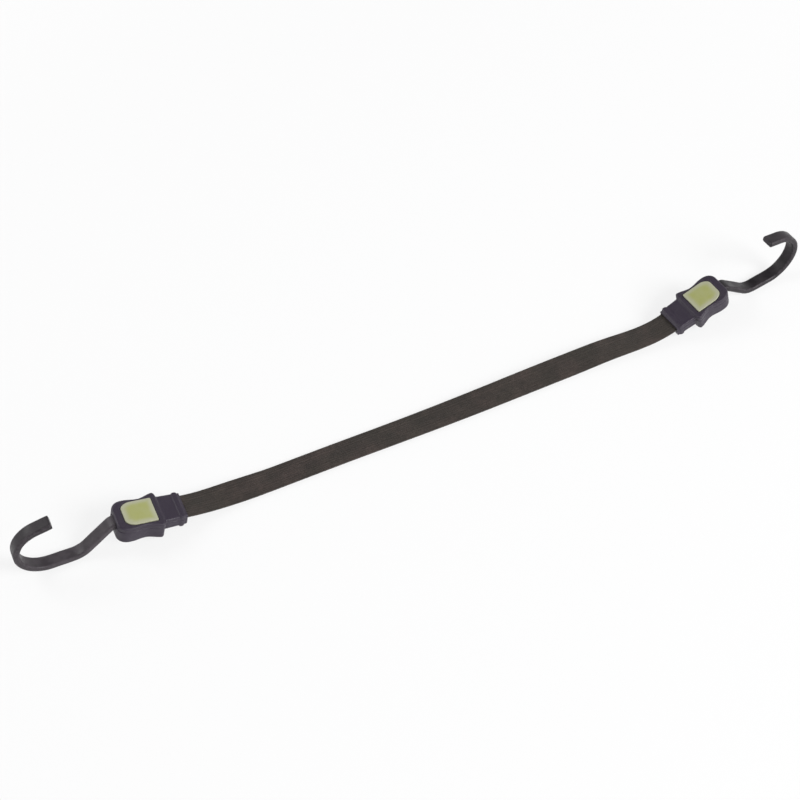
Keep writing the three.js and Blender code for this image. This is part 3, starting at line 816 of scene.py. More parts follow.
def grip_shells():
    """Points and quads of the upper and the lower shell in the grip's frame"""
    grip = setting("grip")
    plan = GripPlan()
    reach = plan.body_half + grip.ear_flare
    lattice = Lattice((0, -reach, plan.bottom), (plan.nose_end, reach, plan.top), grip.pitch)
    rim_bottom, rim_top = plan.neck_bottom - grip.rim_lip, plan.neck_top + grip.rim_lip
    body = raised(lattice, body_outline(plan), plan.bottom, plan.top, grip.body_round)
    neck = raised(lattice, neck_outline(plan), plan.neck_bottom, plan.neck_top, grip.neck_round)
    rim = raised(lattice, rim_outline(plan), rim_bottom, rim_top, grip.rim_lip)
    whole = soft_join(soft_join(neck, rim, grip.rim_lip), body, grip.fillet)
    seat = raised(lattice, pad_outline(plan, grip.fit), plan.pad_floor, 2 * plan.top, 0)
    for hollow in [*grip_hollows(lattice, plan), seat]:
        whole = np.maximum(whole, -hollow)
    half_gap = grip.shell_gap / 2
    upper = soft_cut(whole, half_gap - lattice.z, grip.seam_round)
    lower = soft_cut(whole, half_gap + lattice.z, grip.seam_round)
    return {"upper": lattice.skin(upper), "lower": lattice.skin(lower)}


# Pads


def pad_rings():
    """Points of the pad in the grip's frame, ring by ring from its underside, and its border values"""
    grip, pad = setting("grip"), setting("pad")
    plan = GripPlan()
    outline = pad_outline(plan, 0)[::-1]
    low, high = outline.min(axis=0), outline.max(axis=0)
    middle, reach = (high + low) / 2, (high - low) / 2
    narrow = reach.min()
    edge_top = plan.top + pad.proud
    edge_steps, crown_steps = 6, 12
    # The innermost ring stops just short of the middle point
    innermost = 0.985
    steps = [(0.0, plan.pad_floor + grip.seat_gap, 1.0)]
    for k in range(edge_steps + 1):
        turn = k / edge_steps * math.pi / 2
        inset = pad.edge * (1 - math.cos(turn))
        steps.append((inset, edge_top - pad.edge * (1 - math.sin(turn)), 1.0))
    for k in range(1, crown_steps + 1):
        inward = k / crown_steps * innermost
        inset = pad.edge + inward * (narrow - pad.edge)
        crown = pad.crown * (1 - (1 - inward) ** 2)
        pale = 1 - np.clip((inset - pad.rim / 3) / pad.rim, 0, 1)
        steps.append((inset, edge_top + crown, pale))
    rings, border = [], []
    for inset, height, value in steps:
        shrink = (reach - inset * reach / narrow) / reach
        flat = middle + (outline - middle) * shrink
        rings.append(np.column_stack([flat, np.full(len(flat), height)]))
        border.append(np.full(len(flat), value))
    border.append([steps[0][2], steps[-1][2]])
    return with_middles(rings), np.concatenate(border), len(steps), len(outline)


# Hooks


def hook_stretches(plan):
    """Length and turn of each stretch of the hook's line, from the tang; a turn up is positive"""
    hook = setting("hook")
    return [
        (plan.bend_start - plan.tang_start, 0),
        (hook.exit_radius * hook.exit_angle, -hook.exit_angle),
        (hook.dip_radius * hook.dip_angle, -hook.dip_angle),
        (hook.shank, 0),
        (hook.heel_radius * hook.heel_angle, hook.heel_angle),
        (hook.sole, 0),
        (hook.bowl_radius * hook.bowl_angle, hook.bowl_angle),
        (hook.tip, 0),
    ]


def hook_station(plan, distance):
    """Point on the hook's line and the direction of its thickness there, in the grip's XZ plane"""
    x, z, heading, left = plan.tang_start, 0.0, 0.0, distance
    for length, turn in hook_stretches(plan):
        run = min(left, length)
        part = turn * run / length
        chord = run if part == 0 else 2 * run / part * math.sin(part / 2)
        x += chord * math.cos(heading + part / 2)
        z += chord * math.sin(heading + part / 2)
        heading += part
        left -= run
        if left <= 0:
            break
    return np.array([x, 0, z]), np.array([-math.sin(heading), 0, math.cos(heading)])


def hook_ring(plan, distance, section):
    """A section of the hook, set square to its line"""
    point, up = hook_station(plan, distance)
    return point + np.outer(section[:, 0], [0, 1, 0]) + np.outer(section[:, 1], up)


def coat_swell(distance):
    """Slow unevenness of a dipped coat along the hook, as two waves over each other"""
    long_wave, short_wave = 5.3, 2.1
    short_height, short_shift = 0.6, 1.3
    along = distance / MM
    return math.sin(along / long_wave) + short_height * math.sin(along / short_wave + short_shift)


def hook_coat():
    """Points of the dipped coat as a sock: up its bore from the blind end, over the mouth, to the tip

    With them come 1 for each point on an edge that wears, and how far each point is towards the tip.
    """
    hook, grip = setting("hook"), setting("grip")
    plan = GripPlan()
    end = sum(length for length, _ in hook_stretches(plan))
    start = plan.coat_start - plan.tang_start
    bore_end = end - hook.tip_cap
    fineness = {"corner_steps": 6, "side_steps": 8}
    bore_half_width, bore_half = plan.core_half_width + grip.seat_gap, plan.core_half + grip.seat_gap
    bore = rounded_section(bore_half_width, bore_half, hook.core_corner, **fineness)
    outside = rounded_section(hook.width / 2, hook.thickness / 2, hook.corner, **fineness)
    count = int((bore_end - start) / hook.step)
    rings = [hook_ring(plan, d, bore) for d in np.linspace(bore_end, start, count)]
    reached = [0.0] * count
    round_off = hook.tip_cap / 2
    for d in np.linspace(start, end - round_off, count):
        rings.append(hook_ring(plan, d, outside * (1 + hook.swell * coat_swell(d) / hook.width)))
        reached.append((d - start) / (end - start))
    tip_steps = 6
    for k in range(1, tip_steps + 1):
        turn = k / tip_steps * math.pi / 2
        inset = round_off * (1 - math.cos(turn))
        shrink = [1 - 2 * inset / hook.width, 1 - 2 * inset / hook.thickness]
        rings.append(hook_ring(plan, end - round_off * (1 - math.sin(turn)), outside * shrink))
        reached.append(1.0)
    on_side = np.abs(outside) > np.array([hook.width, hook.thickness]) / 2 - hook.corner
    worn = np.tile(on_side.all(axis=1), len(rings) - count)
    edge = np.concatenate([np.zeros(count * len(bore)), worn, np.zeros(2)])
    along = np.concatenate([np.repeat(reached, len(outside)), [0, 1]])
    return with_middles(rings), edge, along, len(rings), len(outside)


# Screws


def screw_skin():
    """Points and quads of one screw, standing on its head, with a cross in it"""
    fastener, grip = setting("fastener"), setting("grip")
    plan = GripPlan()
    head_top = plan.screw_seat - grip.seat_gap
    foot = head_top - fastener.head
    wide = fastener.head_radius
    # The dome is a ball pressed flat, a little wider than the head
    dome_press, dome_reach = 1.3, 1.03
    lattice = Lattice((-wide, -wide, foot), (wide, wide, plan.screw_top), fastener.pitch)
    round_wall = np.hypot(lattice.x, lattice.y)
    turn = np.arctan2(lattice.y, lattice.x) / (2 * math.pi)
    saw = np.abs(((lattice.z / fastener.lead - turn) % 1) * 2 - 1)
    shank_radius = fastener.root + (fastener.radius - fastener.root) * saw**2
    point = np.clip((plan.screw_top - lattice.z) / (2 * fastener.radius), 0, 1)
    shank = np.maximum(round_wall - shank_radius * point, head_top - fastener.head / 2 - lattice.z)
    dome = np.hypot(round_wall, dome_press * (lattice.z - head_top)) - wide * dome_reach
    head = np.maximum(np.maximum(round_wall - wide, dome), lattice.z - head_top)
    head = np.maximum(head, foot - lattice.z)
    arms = [
        np.maximum(np.abs(a) - fastener.slot / 2, np.abs(b) - fastener.slot_reach)
        for a, b in ((lattice.x, lattice.y), (lattice.y, lattice.x))
    ]
    cross = np.maximum(np.minimum(*arms), lattice.z - foot - fastener.slot_depth)
    return lattice.skin(np.maximum(np.minimum(head, shank), -cross))


# Finishes


def node_group(name, numbers, values):
    """A shader group that takes a place and some numbers and puts out values, with its end nodes"""
    group = bpy.data.node_groups.new(name, "ShaderNodeTree")
    group.interface.new_socket(name="Place", in_out="INPUT", socket_type="NodeSocketVector")
    for label, default in numbers.items():
        socket = group.interface.new_socket(name=label, in_out="INPUT", socket_type="NodeSocketFloat")
        socket.default_value = default
    for label in values:
        group.interface.new_socket(name=label, in_out="OUTPUT", socket_type="NodeSocketFloat")
    return group, group.nodes.new("NodeGroupInput"), group.nodes.new("NodeGroupOutput")


class Wiring:
    """Short ways to add and join nodes in one tree"""

    def __init__(self, tree):
        self.tree = tree

    def node(self, kind, **values):
        made = self.tree.nodes.new(kind)
        for key, value in values.items():
            setattr(made, key, value)
        return made

    def put(self, value, socket):
        """Sets a socket to a plain value, or joins another node's output to it"""
        if isinstance(value, bpy.types.NodeSocket):
            self.tree.links.new(value, socket)
        else:
            socket.default_value = value

    def sums(self, operation, a, b=None, c=None):
        made = self.node("ShaderNodeMath", operation=operation)
        for k, value in enumerate((a, b, c)):
            if value is not None:
                self.put(value, made.inputs[k])
        return made.outputs[0]

    def part(self, value, amount):
        """A value times an amount"""
        return self.sums("MULTIPLY", value, amount)

    def spread(self, value, low=0.0, high=1.0, out_low=0.0, out_high=1.0):
        """A value eased from one range to another"""
        made = self.node("ShaderNodeMapRange", interpolation_type="SMOOTHSTEP")
        for k, given in enumerate((value, low, high, out_low, out_high)):
            self.put(given, made.inputs[k])
        return made.outputs[0]

    def noise(self, vector, scale, detail, rough=0.55):
        made = self.node("ShaderNodeTexNoise")
        self.put(vector, made.inputs["Vector"])
        self.put(scale, made.inputs["Scale"])
        made.inputs["Detail"].default_value = detail
        made.inputs["Roughness"].default_value = rough
        return made.outputs["Fac"]

    def mix(self, share, a, b):
        made = self.node("ShaderNodeMix", data_type="RGBA")
        self.put(share, made.inputs["Factor"])
        self.put(a, made.inputs["A"])
        self.put(b, made.inputs["B"])
        return made.outputs["Result"]

    def over(self, tone, colour, mask, amount=1.0):
        """A tone with a colour laid over it where the mask is high"""
        share = mask if amount == 1.0 else self.part(mask, amount)
        return self.mix(share, tone, opaque(colour))

    def bump(self, height, distance, strength):
        made = self.node("ShaderNodeBump")
        made.inputs["Strength"].default_value = strength
        made.inputs["Distance"].default_value = distance
        self.put(height, made.inputs["Height"])
        return made.outputs["Normal"]

    def group(self, tree, **values):
        made = self.node("ShaderNodeGroup", node_tree=tree)
        for key, value in values.items():
            self.put(value, made.inputs[key.replace("_", " ")])
        return made


def opaque(value):
    return (*value, 1.0)


def patches_group():
    """Slow patches and fine specks over a surface"""
    numbers = {"Patch Scale": 60.0, "Speck Scale": 900.0}
    group, inside, outside = node_group("Patches", numbers, ["Patch", "Speck"])
    wire = Wiring(group)
    place = inside.outputs["Place"]
    slow = wire.noise(place, inside.outputs["Patch Scale"], detail=4.0)
    fine = wire.noise(place, inside.outputs["Speck Scale"], detail=2.0, rough=0.7)
    wire.put(wire.spread(slow, low=0.35, high=0.68), outside.inputs["Patch"])
    wire.put(wire.spread(fine, low=0.40, high=0.72), outside.inputs["Speck"])
    return group


def weave_group():
    """Plain weave over a map in metres: height of the threads, and a value for each thread"""
    numbers = {"Warp Pitch": 0.001, "Weft Pitch": 0.001}
    group, inside, outside = node_group("Plain Weave", numbers, ["Height", "Thread"])
    wire = Wiring(group)
    roundness = 2.2
    dip, crest = 0.45, 0.55
    parts = wire.node("ShaderNodeSeparateXYZ")
    wire.put(inside.outputs["Place"], parts.inputs[0])
    along = wire.sums("DIVIDE", parts.outputs["X"], inside.outputs["Weft Pitch"])
    around = wire.sums("DIVIDE", parts.outputs["Y"], inside.outputs["Warp Pitch"])
    column, row = wire.sums("FLOOR", along), wire.sums("FLOOR", around)
    bulge = []
    for value in (along, around):
        centred = wire.sums("MULTIPLY_ADD", wire.sums("FRACT", value), 2.0, -1.0)
        fall = wire.sums("POWER", wire.sums("ABSOLUTE", centred), roundness)
        bulge.append(wire.sums("SUBTRACT", 1.0, fall))
    odd = wire.sums("MODULO", wire.sums("ADD", column, row), 2.0)
    odd = wire.sums("ABSOLUTE", odd)
    warp_up = wire.sums("MULTIPLY", bulge[1], wire.sums("MULTIPLY_ADD", bulge[0], dip, crest))
    weft_up = wire.sums("MULTIPLY", bulge[0], wire.sums("MULTIPLY_ADD", bulge[1], dip, crest))
    lifted = wire.sums("MULTIPLY", weft_up, odd)
    rest = wire.sums("MULTIPLY", warp_up, wire.sums("SUBTRACT", 1.0, odd))
    wire.put(wire.sums("ADD", lifted, rest), outside.inputs["Height"])
    joined = wire.node("ShaderNodeCombineXYZ")
    wire.put(wire.sums("MULTIPLY", column, odd), joined.inputs["X"])
    wire.put(row, joined.inputs["Y"])
    chance = wire.node("ShaderNodeTexWhiteNoise", noise_dimensions="2D")
    wire.put(joined.outputs[0], chance.inputs["Vector"])
    wire.put(chance.outputs["Value"], outside.inputs["Thread"])
    return group


def wear_group():
    """Rubbed edges: the point values kept on a mesh, broken up by noise"""
    group, inside, outside = node_group("Edge Wear", {"Scale": 700.0, "Amount": 0.6}, ["Mask"])
    wire = Wiring(group)
    edge = kept_value(wire, "edge")
    broken = wire.noise(inside.outputs["Place"], inside.outputs["Scale"], detail=4.0, rough=0.65)
    grown = wire.sums("MULTIPLY", edge, wire.spread(broken, low=0.34, high=0.62))
    wire.put(wire.sums("MULTIPLY", grown, inside.outputs["Amount"]), outside.inputs["Mask"])
    return group


def finish(name):
    """A material with its shader and a wiring helper"""
    material = bpy.data.materials.new(name)
    material.use_nodes = True
    shader = material.node_tree.nodes["Principled BSDF"]
    return material, shader, Wiring(material.node_tree)


def object_place(wire):
    """Place on a piece, in metres"""
    return wire.node("ShaderNodeTexCoord").outputs["Object"]


def kept_value(wire, name):
    """A number kept for each point of a mesh"""
    return wire.node("ShaderNodeAttribute", attribute_name=name).outputs["Fac"]


def dress(wire, shader, tone, rough, relief):
    """Joins the colour, roughness and relief of a finish to its shader"""
    wire.put(tone, shader.inputs["Base Color"])
    wire.put(rough, shader.inputs["Roughness"])
    wire.put(relief, shader.inputs["Normal"])


def woven_strap(groups):
    """Dark elastic weave with warm, faded and worn stretches, and painted shade between its threads"""
    strap = setting("strap")
    _, shader, wire = finish("woven_strap")
    place = wire.node("ShaderNodeUVMap", uv_map="threads").outputs[0]
    weave = wire.group(
        groups["weave"], Place=place, Warp_Pitch=strap.warp_pitch, Weft_Pitch=strap.weft_pitch
    )
    patches = wire.group(groups["patches"], Place=place, Patch_Scale=62.0, Speck_Scale=1400.0)
    elsewhere = (3.7, 1.9, 0.6)
    moved = wire.node("ShaderNodeVectorMath", operation="ADD")
    wire.put(place, moved.inputs[0])
    wire.put(elsewhere, moved.inputs[1])
    faded = wire.group(groups["patches"], Place=moved.outputs[0], Patch_Scale=38.0, Speck_Scale=260.0)
    # Painted shade in the valleys between the threads
    painted_valley_shade = wire.spread(weave.outputs["Height"], low=0.05, high=0.8, out_low=1.0, out_high=0.0)
    tone = wire.over(opaque(strap.thread), strap.tint, patches.outputs["Patch"], amount=0.7)
    tone = wire.over(tone, strap.olive, faded.outputs["Patch"], amount=0.5)
    tone = wire.over(tone, strap.shade, faded.outputs["Speck"], amount=0.24)
    tone = wire.over(tone, strap.shade, weave.outputs["Thread"], amount=0.34)
    tone = wire.over(tone, strap.shade, painted_valley_shade, amount=0.75)
    rough = wire.spread(patches.outputs["Speck"], out_low=0.74, out_high=0.92)
    fuzz = wire.sums("MULTIPLY_ADD", patches.outputs["Speck"], 0.25, weave.outputs["Height"])
    dress(wire, shader, tone, rough, wire.bump(fuzz, distance=0.30 * MM, strength=1.0))
    shader.inputs["Sheen Weight"].default_value = 0.10
    shader.inputs["Sheen Roughness"].default_value = 0.5
    shader.inputs["Specular IOR Level"].default_value = 0.25


def moulded_plastic(groups):
    """Dark violet plastic with a fine moulded grain and rubbed edges"""
    grip = setting("grip")
    _, shader, wire = finish("moulded_plastic")
    place = object_place(wire)
    patches = wire.group(groups["patches"], Place=place, Patch_Scale=110.0, Speck_Scale=2600.0)
    wear = wire.group(groups["wear"], Place=place, Scale=520.0, Amount=0.55).outputs["Mask"]
    tone = wire.over(opaque(grip.plastic), grip.dust, patches.outputs["Patch"], amount=0.28)
    tone = wire.over(tone, grip.rubbed, wear)
    rough = wire.spread(patches.outputs["Patch"], out_low=0.40, out_high=0.54)
    polish = wire.sums("MULTIPLY_ADD", wear, -0.2, rough)
    grain = wire.bump(patches.outputs["Speck"], distance=0.10 * MM, strength=0.6)
    dress(wire, shader, tone, polish, grain)
    shader.inputs["Specular IOR Level"].default_value = 0.5


def pad_inlay(groups):
    """Satin yellow-green pad with a paler border"""
    pad = setting("pad")
    _, shader, wire = finish("pad_inlay")
    place = object_place(wire)
    patches = wire.group(groups["patches"], Place=place, Patch_Scale=160.0, Speck_Scale=2200.0)
    border = wire.part(kept_value(wire, "border"), 0.9)
    pale = wire.sums("MULTIPLY_ADD", patches.outputs["Patch"], 0.16, border)
    tone = wire.over(opaque(pad.centre), pad.border, pale)
    rough = wire.spread(patches.outputs["Patch"], out_low=0.46, out_high=0.60)
    grain = wire.bump(patches.outputs["Speck"], distance=0.04 * MM, strength=0.35)
    dress(wire, shader, tone, rough, grain)
    shader.inputs["Coat Weight"].default_value = 0.12
    shader.inputs["Coat Roughness"].default_value = 0.42


def dipped_vinyl(groups):
    """Black dipped coat, rubbed pale along its edges and at the tip, with painted light that fades
    from the grip towards the tip where the mesh says
    """
    hook = setting("hook")
    _, shader, wire = finish("dipped_vinyl")
    place = object_place(wire)
    patches = wire.group(groups["patches"], Place=place, Patch_Scale=130.0, Speck_Scale=1500.0)
    wear = wire.group(groups["wear"], Place=place, Scale=420.0, Amount=0.5).outputs["Mask"]
    uneven = wire.spread(patches.outputs["Patch"], out_low=0.8, out_high=1.1)
    # Painted light near the grip that fades towards the tip, set per side, with real wear at the tip
    tip_wear_and_painted_light = wire.part(kept_value(wire, "tip_wear_and_painted_light"), uneven)
    tone = wire.over(opaque(hook.vinyl), hook.scuff_and_painted_light, patches.outputs["Patch"], amount=0.18)
    tone = wire.over(tone, hook.scuff_and_painted_light, tip_wear_and_painted_light)
    tone = wire.over(tone, hook.scuff_and_painted_light, wear)
    rough = wire.spread(patches.outputs["Patch"], out_low=0.34, out_high=0.52)
    height = wire.sums("MULTIPLY_ADD", patches.outputs["Speck"], 0.4, patches.outputs["Patch"])
    dress(wire, shader, tone, rough, wire.bump(height, distance=0.10 * MM, strength=0.35))
    shader.inputs["Specular IOR Level"].default_value = 0.22


def plated_metal(groups, name, base, stretch):
    """Metal with fine lines along the grip's length"""
    _, shader, wire = finish(name)
    scaled = wire.node("ShaderNodeMapping")
    wire.put(object_place(wire), scaled.inputs["Vector"])
    scaled.inputs["Scale"].default_value = stretch
    patches = wire.group(
        groups["patches"], Place=scaled.outputs[0], Patch_Scale=150.0, Speck_Scale=1800.0
    )
    dulled = tuple(0.62 * c for c in base)
    tone = wire.over(opaque(base), dulled, patches.outputs["Patch"], amount=0.6)
    rough = wire.spread(patches.outputs["Speck"], out_low=0.26, out_high=0.46)
    lines = wire.bump(patches.outputs["Speck"], distance=0.03 * MM, strength=0.3)
    dress(wire, shader, tone, rough, lines)
    shader.inputs["Metallic"].default_value = 1.0


def finishes():
    """Every finish of the cord, made once"""
    if "woven_strap" not in bpy.data.materials:
        groups = {"patches": patches_group(), "weave": weave_group(), "wear": wear_group()}
        fastener = setting("fastener")
        woven_strap(groups)
        moulded_plastic(groups)
        pad_inlay(groups)
        dipped_vinyl(groups)
        plated_metal(groups, "zinc_plate", fastener.zinc, (1.0, 1.0, 1.0))
        plated_metal(groups, "strip_steel", fastener.steel, (0.15, 1.0, 1.0))
    return bpy.data.materials


# Operators


class BUNGEE_OT_stage(bpy.types.Operator):
    """Camera at the picture's angle, pale floor and soft light"""

    bl_idname = "bungee.stage"
    bl_label = "Stage"

    def execute(self, context):
        self.camera(context)
        self.floor()
        self.room(context)
        self.lamps(context)
        context.scene.view_settings.view_transform = "Standard"
        return {"FINISHED"}

    def camera(self, context):
        stage = setting("stage")
        turn, rise = stage.azimuth, stage.elevation
        back = Vector(
            (math.sin(turn) * math.cos(rise), -math.cos(turn) * math.cos(rise), math.sin(rise))
        )
        right = Vector((math.cos(turn), math.sin(turn), 0))
        up = back.cross(right)
        tilted = Matrix((right, up, back)).transposed().to_4x4() @ Matrix.Rotation(stage.roll, 4, "Z")
        data = bpy.data.cameras.new("camera")
        data.lens = stage.lens
        data.sensor_width = 36
        data.clip_end = 20
        camera = bpy.data.objects.new("camera", data)
        target = Vector((stage.target_x, stage.target_y, 0))
        camera.matrix_world = Matrix.Translation(target + back * stage.distance) @ tilted
        context.scene.collection.objects.link(camera)
        context.scene.camera = camera

    def seen(self, wire):
        """1 for rays that show the background: straight from the camera, mirrored or through glass"""
        path = wire.node("ShaderNodeLightPath")
        seen = wire.sums("MAXIMUM", path.outputs["Is Camera Ray"], path.outputs["Is Glossy Ray"])
        return wire.sums("MAXIMUM", seen, path.outputs["Is Transmission Ray"])

    def blend(self, wire, share, first, second):
        """A shader between two others"""
        made = wire.node("ShaderNodeMixShader")
        for k, value in enumerate((share, first, second)):
            wire.put(value, made.inputs[k])
        return made.outputs[0]

    def floor(self):
        """A pale floor that takes the cord's shadow and fades into the white room away from it

        What lies on it gets light through it from below, and from below it isn't seen.
        """
        stage = setting("stage")
        half = stage.floor_half
        corners = [(-half, -half, 0), (half, -half, 0), (half, half, 0), (-half, half, 0)]
        material, shader, wire = finish("pale_floor")
        shader.inputs["Base Color"].default_value = opaque(stage.floor)
        shader.inputs["Roughness"].default_value = 0.9
        shader.inputs["Specular IOR Level"].default_value = 0.0
        clear = wire.node("ShaderNodeBsdfTransparent").outputs[0]
        reach = wire.node("ShaderNodeVectorMath", operation="LENGTH")
        wire.put(object_place(wire), reach.inputs[0])
        fade = wire.spread(reach.outputs["Value"], stage.veil_near, stage.veil_far, out_low=stage.veil)
        veil = wire.sums("MULTIPLY", self.seen(wire), fade)
        ray_length = wire.node("ShaderNodeLightPath").outputs["Ray Length"]
        touching = wire.sums("LESS_THAN", ray_length, stage.touch)
        above = self.blend(wire, wire.sums("MAXIMUM", veil, touching), shader.outputs[0], clear)
        from_below = wire.node("ShaderNodeNewGeometry").outputs["Backfacing"]
        surface = self.blend(wire, from_below, above, clear)
        wire.put(surface, material.node_tree.nodes["Material Output"].inputs["Surface"])
        floor = mesh_piece("floor", corners, [(0, 1, 2, 3)], material)
        floor.location.z = -stage.floor_drop

    def room(self, context):
        """A white room that is dimmer overhead, and white where the camera looks straight at it"""
        stage = setting("stage")
        world = bpy.data.worlds.new("soft_room")
        world.use_nodes = True
        context.scene.world = world
        wire = Wiring(world.node_tree)
        light = world.node_tree.nodes["Background"]
        height = wire.node("ShaderNodeSeparateXYZ")
        wire.put(wire.node("ShaderNodeTexCoord").outputs["Generated"], height.inputs[0])
        overhead = wire.spread(height.outputs["Z"], low=0.30, high=0.85)
        shade = wire.over(opaque(WHITE), stage.ceiling, overhead)
        wire.put(shade, light.inputs["Color"])
        light.inputs["Strength"].default_value = stage.room_power
        backdrop = wire.node("ShaderNodeBackground")
        direct = wire.node("ShaderNodeLightPath").outputs["Is Camera Ray"]
        wire.put(wire.over(shade, WHITE, direct), backdrop.inputs["Color"])
        surface = self.blend(wire, self.seen(wire), light.outputs[0], backdrop.outputs[0])
        wire.put(surface, world.node_tree.nodes["World Output"].inputs["Surface"])

    def lamps(self, context):
        for name, place, power in LAMPS:
            data = bpy.data.lights.new(name, "AREA")
            data.size = setting("stage").lamp_size
            data.energy = power
            lamp = bpy.data.objects.new(name, data)
            lamp.location = place
            lamp.rotation_euler = (-Vector(place)).to_track_quat("-Z", "Y").to_euler()
            context.scene.collection.objects.link(lamp)


class BUNGEE_OT_strap(bpy.types.Operator):
    """Woven strap in four stretches: one rising into each grip, one beside the left grip, and the
    middle run
    """

    bl_idname = "bungee.strap"
    bl_label = "Woven strap"

    def execute(self, context):
        material = finishes()["woven_strap"]
        twist_start, free_start, free_end = STRAP_CUTS
        bend_start, bend_end = NECK_BEND
        ends = [x * MM for x in (-PAST_THE_ENDS, *STRAP_CUTS, PAST_THE_ENDS)]
        names = ("strap_left_bend", "strap_twist_run", "strap_free_run", "strap_right_bend")
        # Places on X in each stretch, given for bending, twisting or lengthening; the points found
        # there are not used
        turns = [
            (-bend_end, -bend_start),
            (twist_start + CUT_MARGIN, free_start - CUT_MARGIN),
            (free_start + CUT_MARGIN, free_end - CUT_MARGIN),
            (bend_start, bend_end),
        ]
        stands_for = (
            ["strap_left_tail"],
            ["strap_left"],
            ["strap_middle"],
            ["strap_right", "strap_right_tail"],
        )
        made = []
        for k, name in enumerate(names):
            piece, path = strap_piece(name, ends[k], ends[k + 1], material)
            start, end = (strap_stations(x * MM, x * MM)[1][0] for x in turns[k])
            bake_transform(piece)
            for stretch in stands_for[k]:
                strands = [f"{stretch}_strand_{n}" for n in range(1, STRANDS + 1)]
                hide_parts(stretch + "_jacket", *strands)
            made.append((piece, path))
        self.declare(made)
        return {"FINISHED"}

    def declare(self, made):
        """Reads the strap's width and does nothing more"""
        setting("strap").width


class BUNGEE_OT_grips(bpy.types.Operator):
    """Upper and lower shell of each moulded grip"""

    bl_idname = "bungee.grips"
    bl_label = "Grip shells"

    def execute(self, context):
        material = finishes()["moulded_plastic"]
        plan = GripPlan()
        for half, (points, quads) in grip_shells().items():
            edge = ridges(points, quads)
            for name in SIDES:
                spots = placed(points, grip_matrix(name, plan))
                piece = mesh_piece(f"{name}_{half}_housing", spots, quads, material)
                point_values(piece, "edge", edge)
                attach(piece, name + "_end")
                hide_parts(f"{name}_{half}_shell")
        return {"FINISHED"}


class BUNGEE_OT_pads(bpy.types.Operator):
    """Pad set into the top of each grip"""

    bl_idname = "bungee.pads"
    bl_label = "Grip pads"

    def execute(self, context):
        material = finishes()["pad_inlay"]
        plan = GripPlan()
        points, border, rings, count = pad_rings()
        for name in SIDES:
            spots = placed(points, grip_matrix(name, plan))
            piece = mesh_piece(name + "_pad_inlay", spots, ring_faces(rings, count, True), material)
            point_values(piece, "border", border)
            sharpen_caps(piece, 1, count)
            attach(piece, name + "_end")
            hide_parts(name + "_grip_pad")
        return {"FINISHED"}


class BUNGEE_OT_hooks(bpy.types.Operator):
    """Dipped coat of each strip hook"""

    bl_idname = "bungee.hooks"
    bl_label = "Hook coats"

    def execute(self, context):
        material = finishes()["dipped_vinyl"]
        plan = GripPlan()
        hook = setting("hook")
        painted_lights = {"left": hook.left_painted_light, "right": hook.right_painted_light}
        points, edge, along, rings, count = hook_coat()
        # Rubbed most at the very tip, and hardly at all before it
        tip_rub = hook.tip_rub * along**4
        for name in SIDES:
            spots = placed(points, grip_matrix(name, plan))
            piece = mesh_piece(name + "_hook_dip", spots, ring_faces(rings, count, True), material)
            point_values(piece, "edge", edge)
            # Painted light per side that fades from the grip towards the tip, plus the tip's wear
            point_values(piece, "tip_wear_and_painted_light", painted_lights[name] * (1 - along) + tip_rub)
            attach(piece, name + "_end")
            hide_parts(name + "_hook_coat")
        return {"FINISHED"}


class BUNGEE_OT_screws(bpy.types.Operator):
    """Screws that close the shells from below"""

    bl_idname = "bungee.screws"
    bl_label = "Screws"

    def execute(self, context):
        material = finishes()["zinc_plate"]
        plan = GripPlan()
        points, quads = screw_skin()
        for name in SIDES:
            matrix = grip_matrix(name, plan)
            for place in ("front", "back"):
                node = f"{name}_screw_{place}"
                low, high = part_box(node)
                across = (matrix.inverted() @ ((low + high) / 2)).y
                shift = Matrix.Translation((plan.screw_x, math.copysign(plan.screw_y, across), 0))
                spots = placed(points, matrix @ shift)
                piece = mesh_piece(f"{name}_{place}_screw", spots, quads, material)
                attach(piece, name + "_end")
                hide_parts(node)
        return {"FINISHED"}


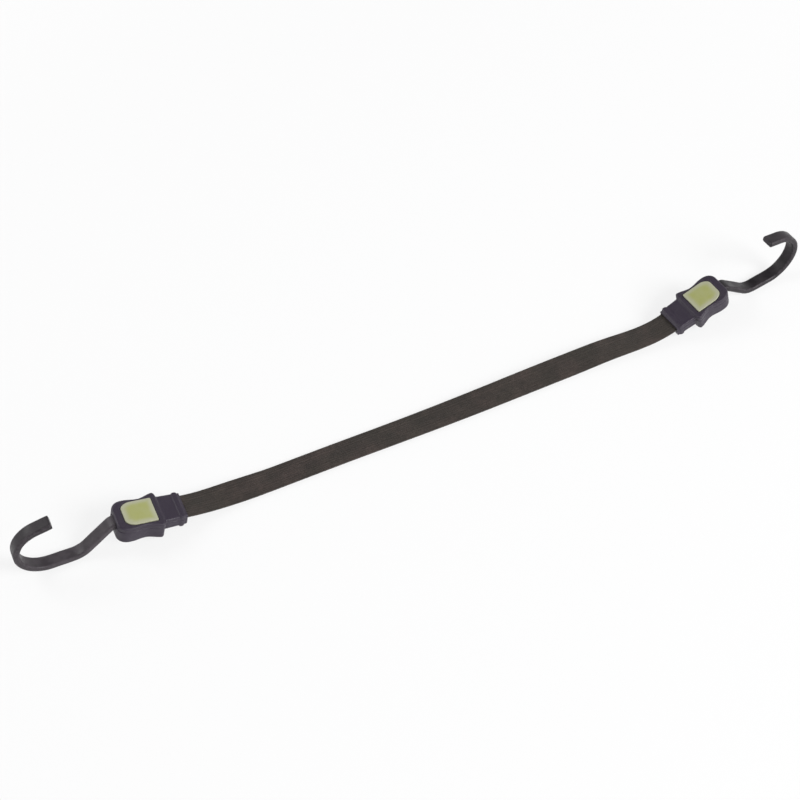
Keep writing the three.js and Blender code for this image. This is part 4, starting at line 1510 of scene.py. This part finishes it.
class BUNGEE_OT_metal(bpy.types.Operator):
    """Finishes of the plates, rivets and hook strips inside the grips"""

    bl_idname = "bungee.metal"
    bl_label = "Inner metal"

    def execute(self, context):
        zinc, steel = finishes()["zinc_plate"], finishes()["strip_steel"]
        dressed = {
            "clamp_top": zinc,
            "clamp_bottom": zinc,
            "rivet_inner": zinc,
            "rivet_outer": zinc,
            "hook_core": steel,
        }
        for name in SIDES:
            for node, material in dressed.items():
                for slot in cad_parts[f"{name}_{node}"].material_slots:
                    slot.material = material
        return {"FINISHED"}


OPERATORS = [
    BUNGEE_OT_stage,
    BUNGEE_OT_strap,
    BUNGEE_OT_grips,
    BUNGEE_OT_pads,
    BUNGEE_OT_hooks,
    BUNGEE_OT_screws,
    BUNGEE_OT_metal,
]


class BUNGEE_PT_panel(bpy.types.Panel):
    """Steps and settings of the bungee cord"""

    bl_idname = "BUNGEE_PT_panel"
    bl_label = "Bungee Cord"
    bl_space_type = "VIEW_3D"
    bl_region_type = "UI"
    bl_category = "Bungee Cord"

    def draw(self, context):
        for operator in OPERATORS:
            self.layout.operator(operator.bl_idname)
        for name, group in SETTINGS.items():
            column = self.layout.box().column(align=True)
            column.label(text=group.__doc__)
            for key in group.__annotations__:
                column.prop(setting(name), key)


def register():
    """Adds the settings, the steps and the panel"""
    for kind in (*SETTINGS.values(), *OPERATORS, BUNGEE_PT_panel):
        bpy.utils.register_class(kind)
    for name, group in SETTINGS.items():
        setattr(bpy.types.Scene, "bungee_" + name, PointerProperty(type=group))


def unregister():
    """Takes them away again"""
    for name in SETTINGS:
        delattr(bpy.types.Scene, "bungee_" + name)
    for kind in (BUNGEE_PT_panel, *reversed(OPERATORS), *SETTINGS.values()):
        bpy.utils.unregister_class(kind)


def main():
    """Builds the stage and every piece in order"""
    register()
    bpy.ops.bungee.stage()
    bpy.ops.bungee.strap()
    bpy.ops.bungee.grips()
    bpy.ops.bungee.pads()
    bpy.ops.bungee.hooks()
    bpy.ops.bungee.screws()
    bpy.ops.bungee.metal()


if __name__ == "__main__":
    main()
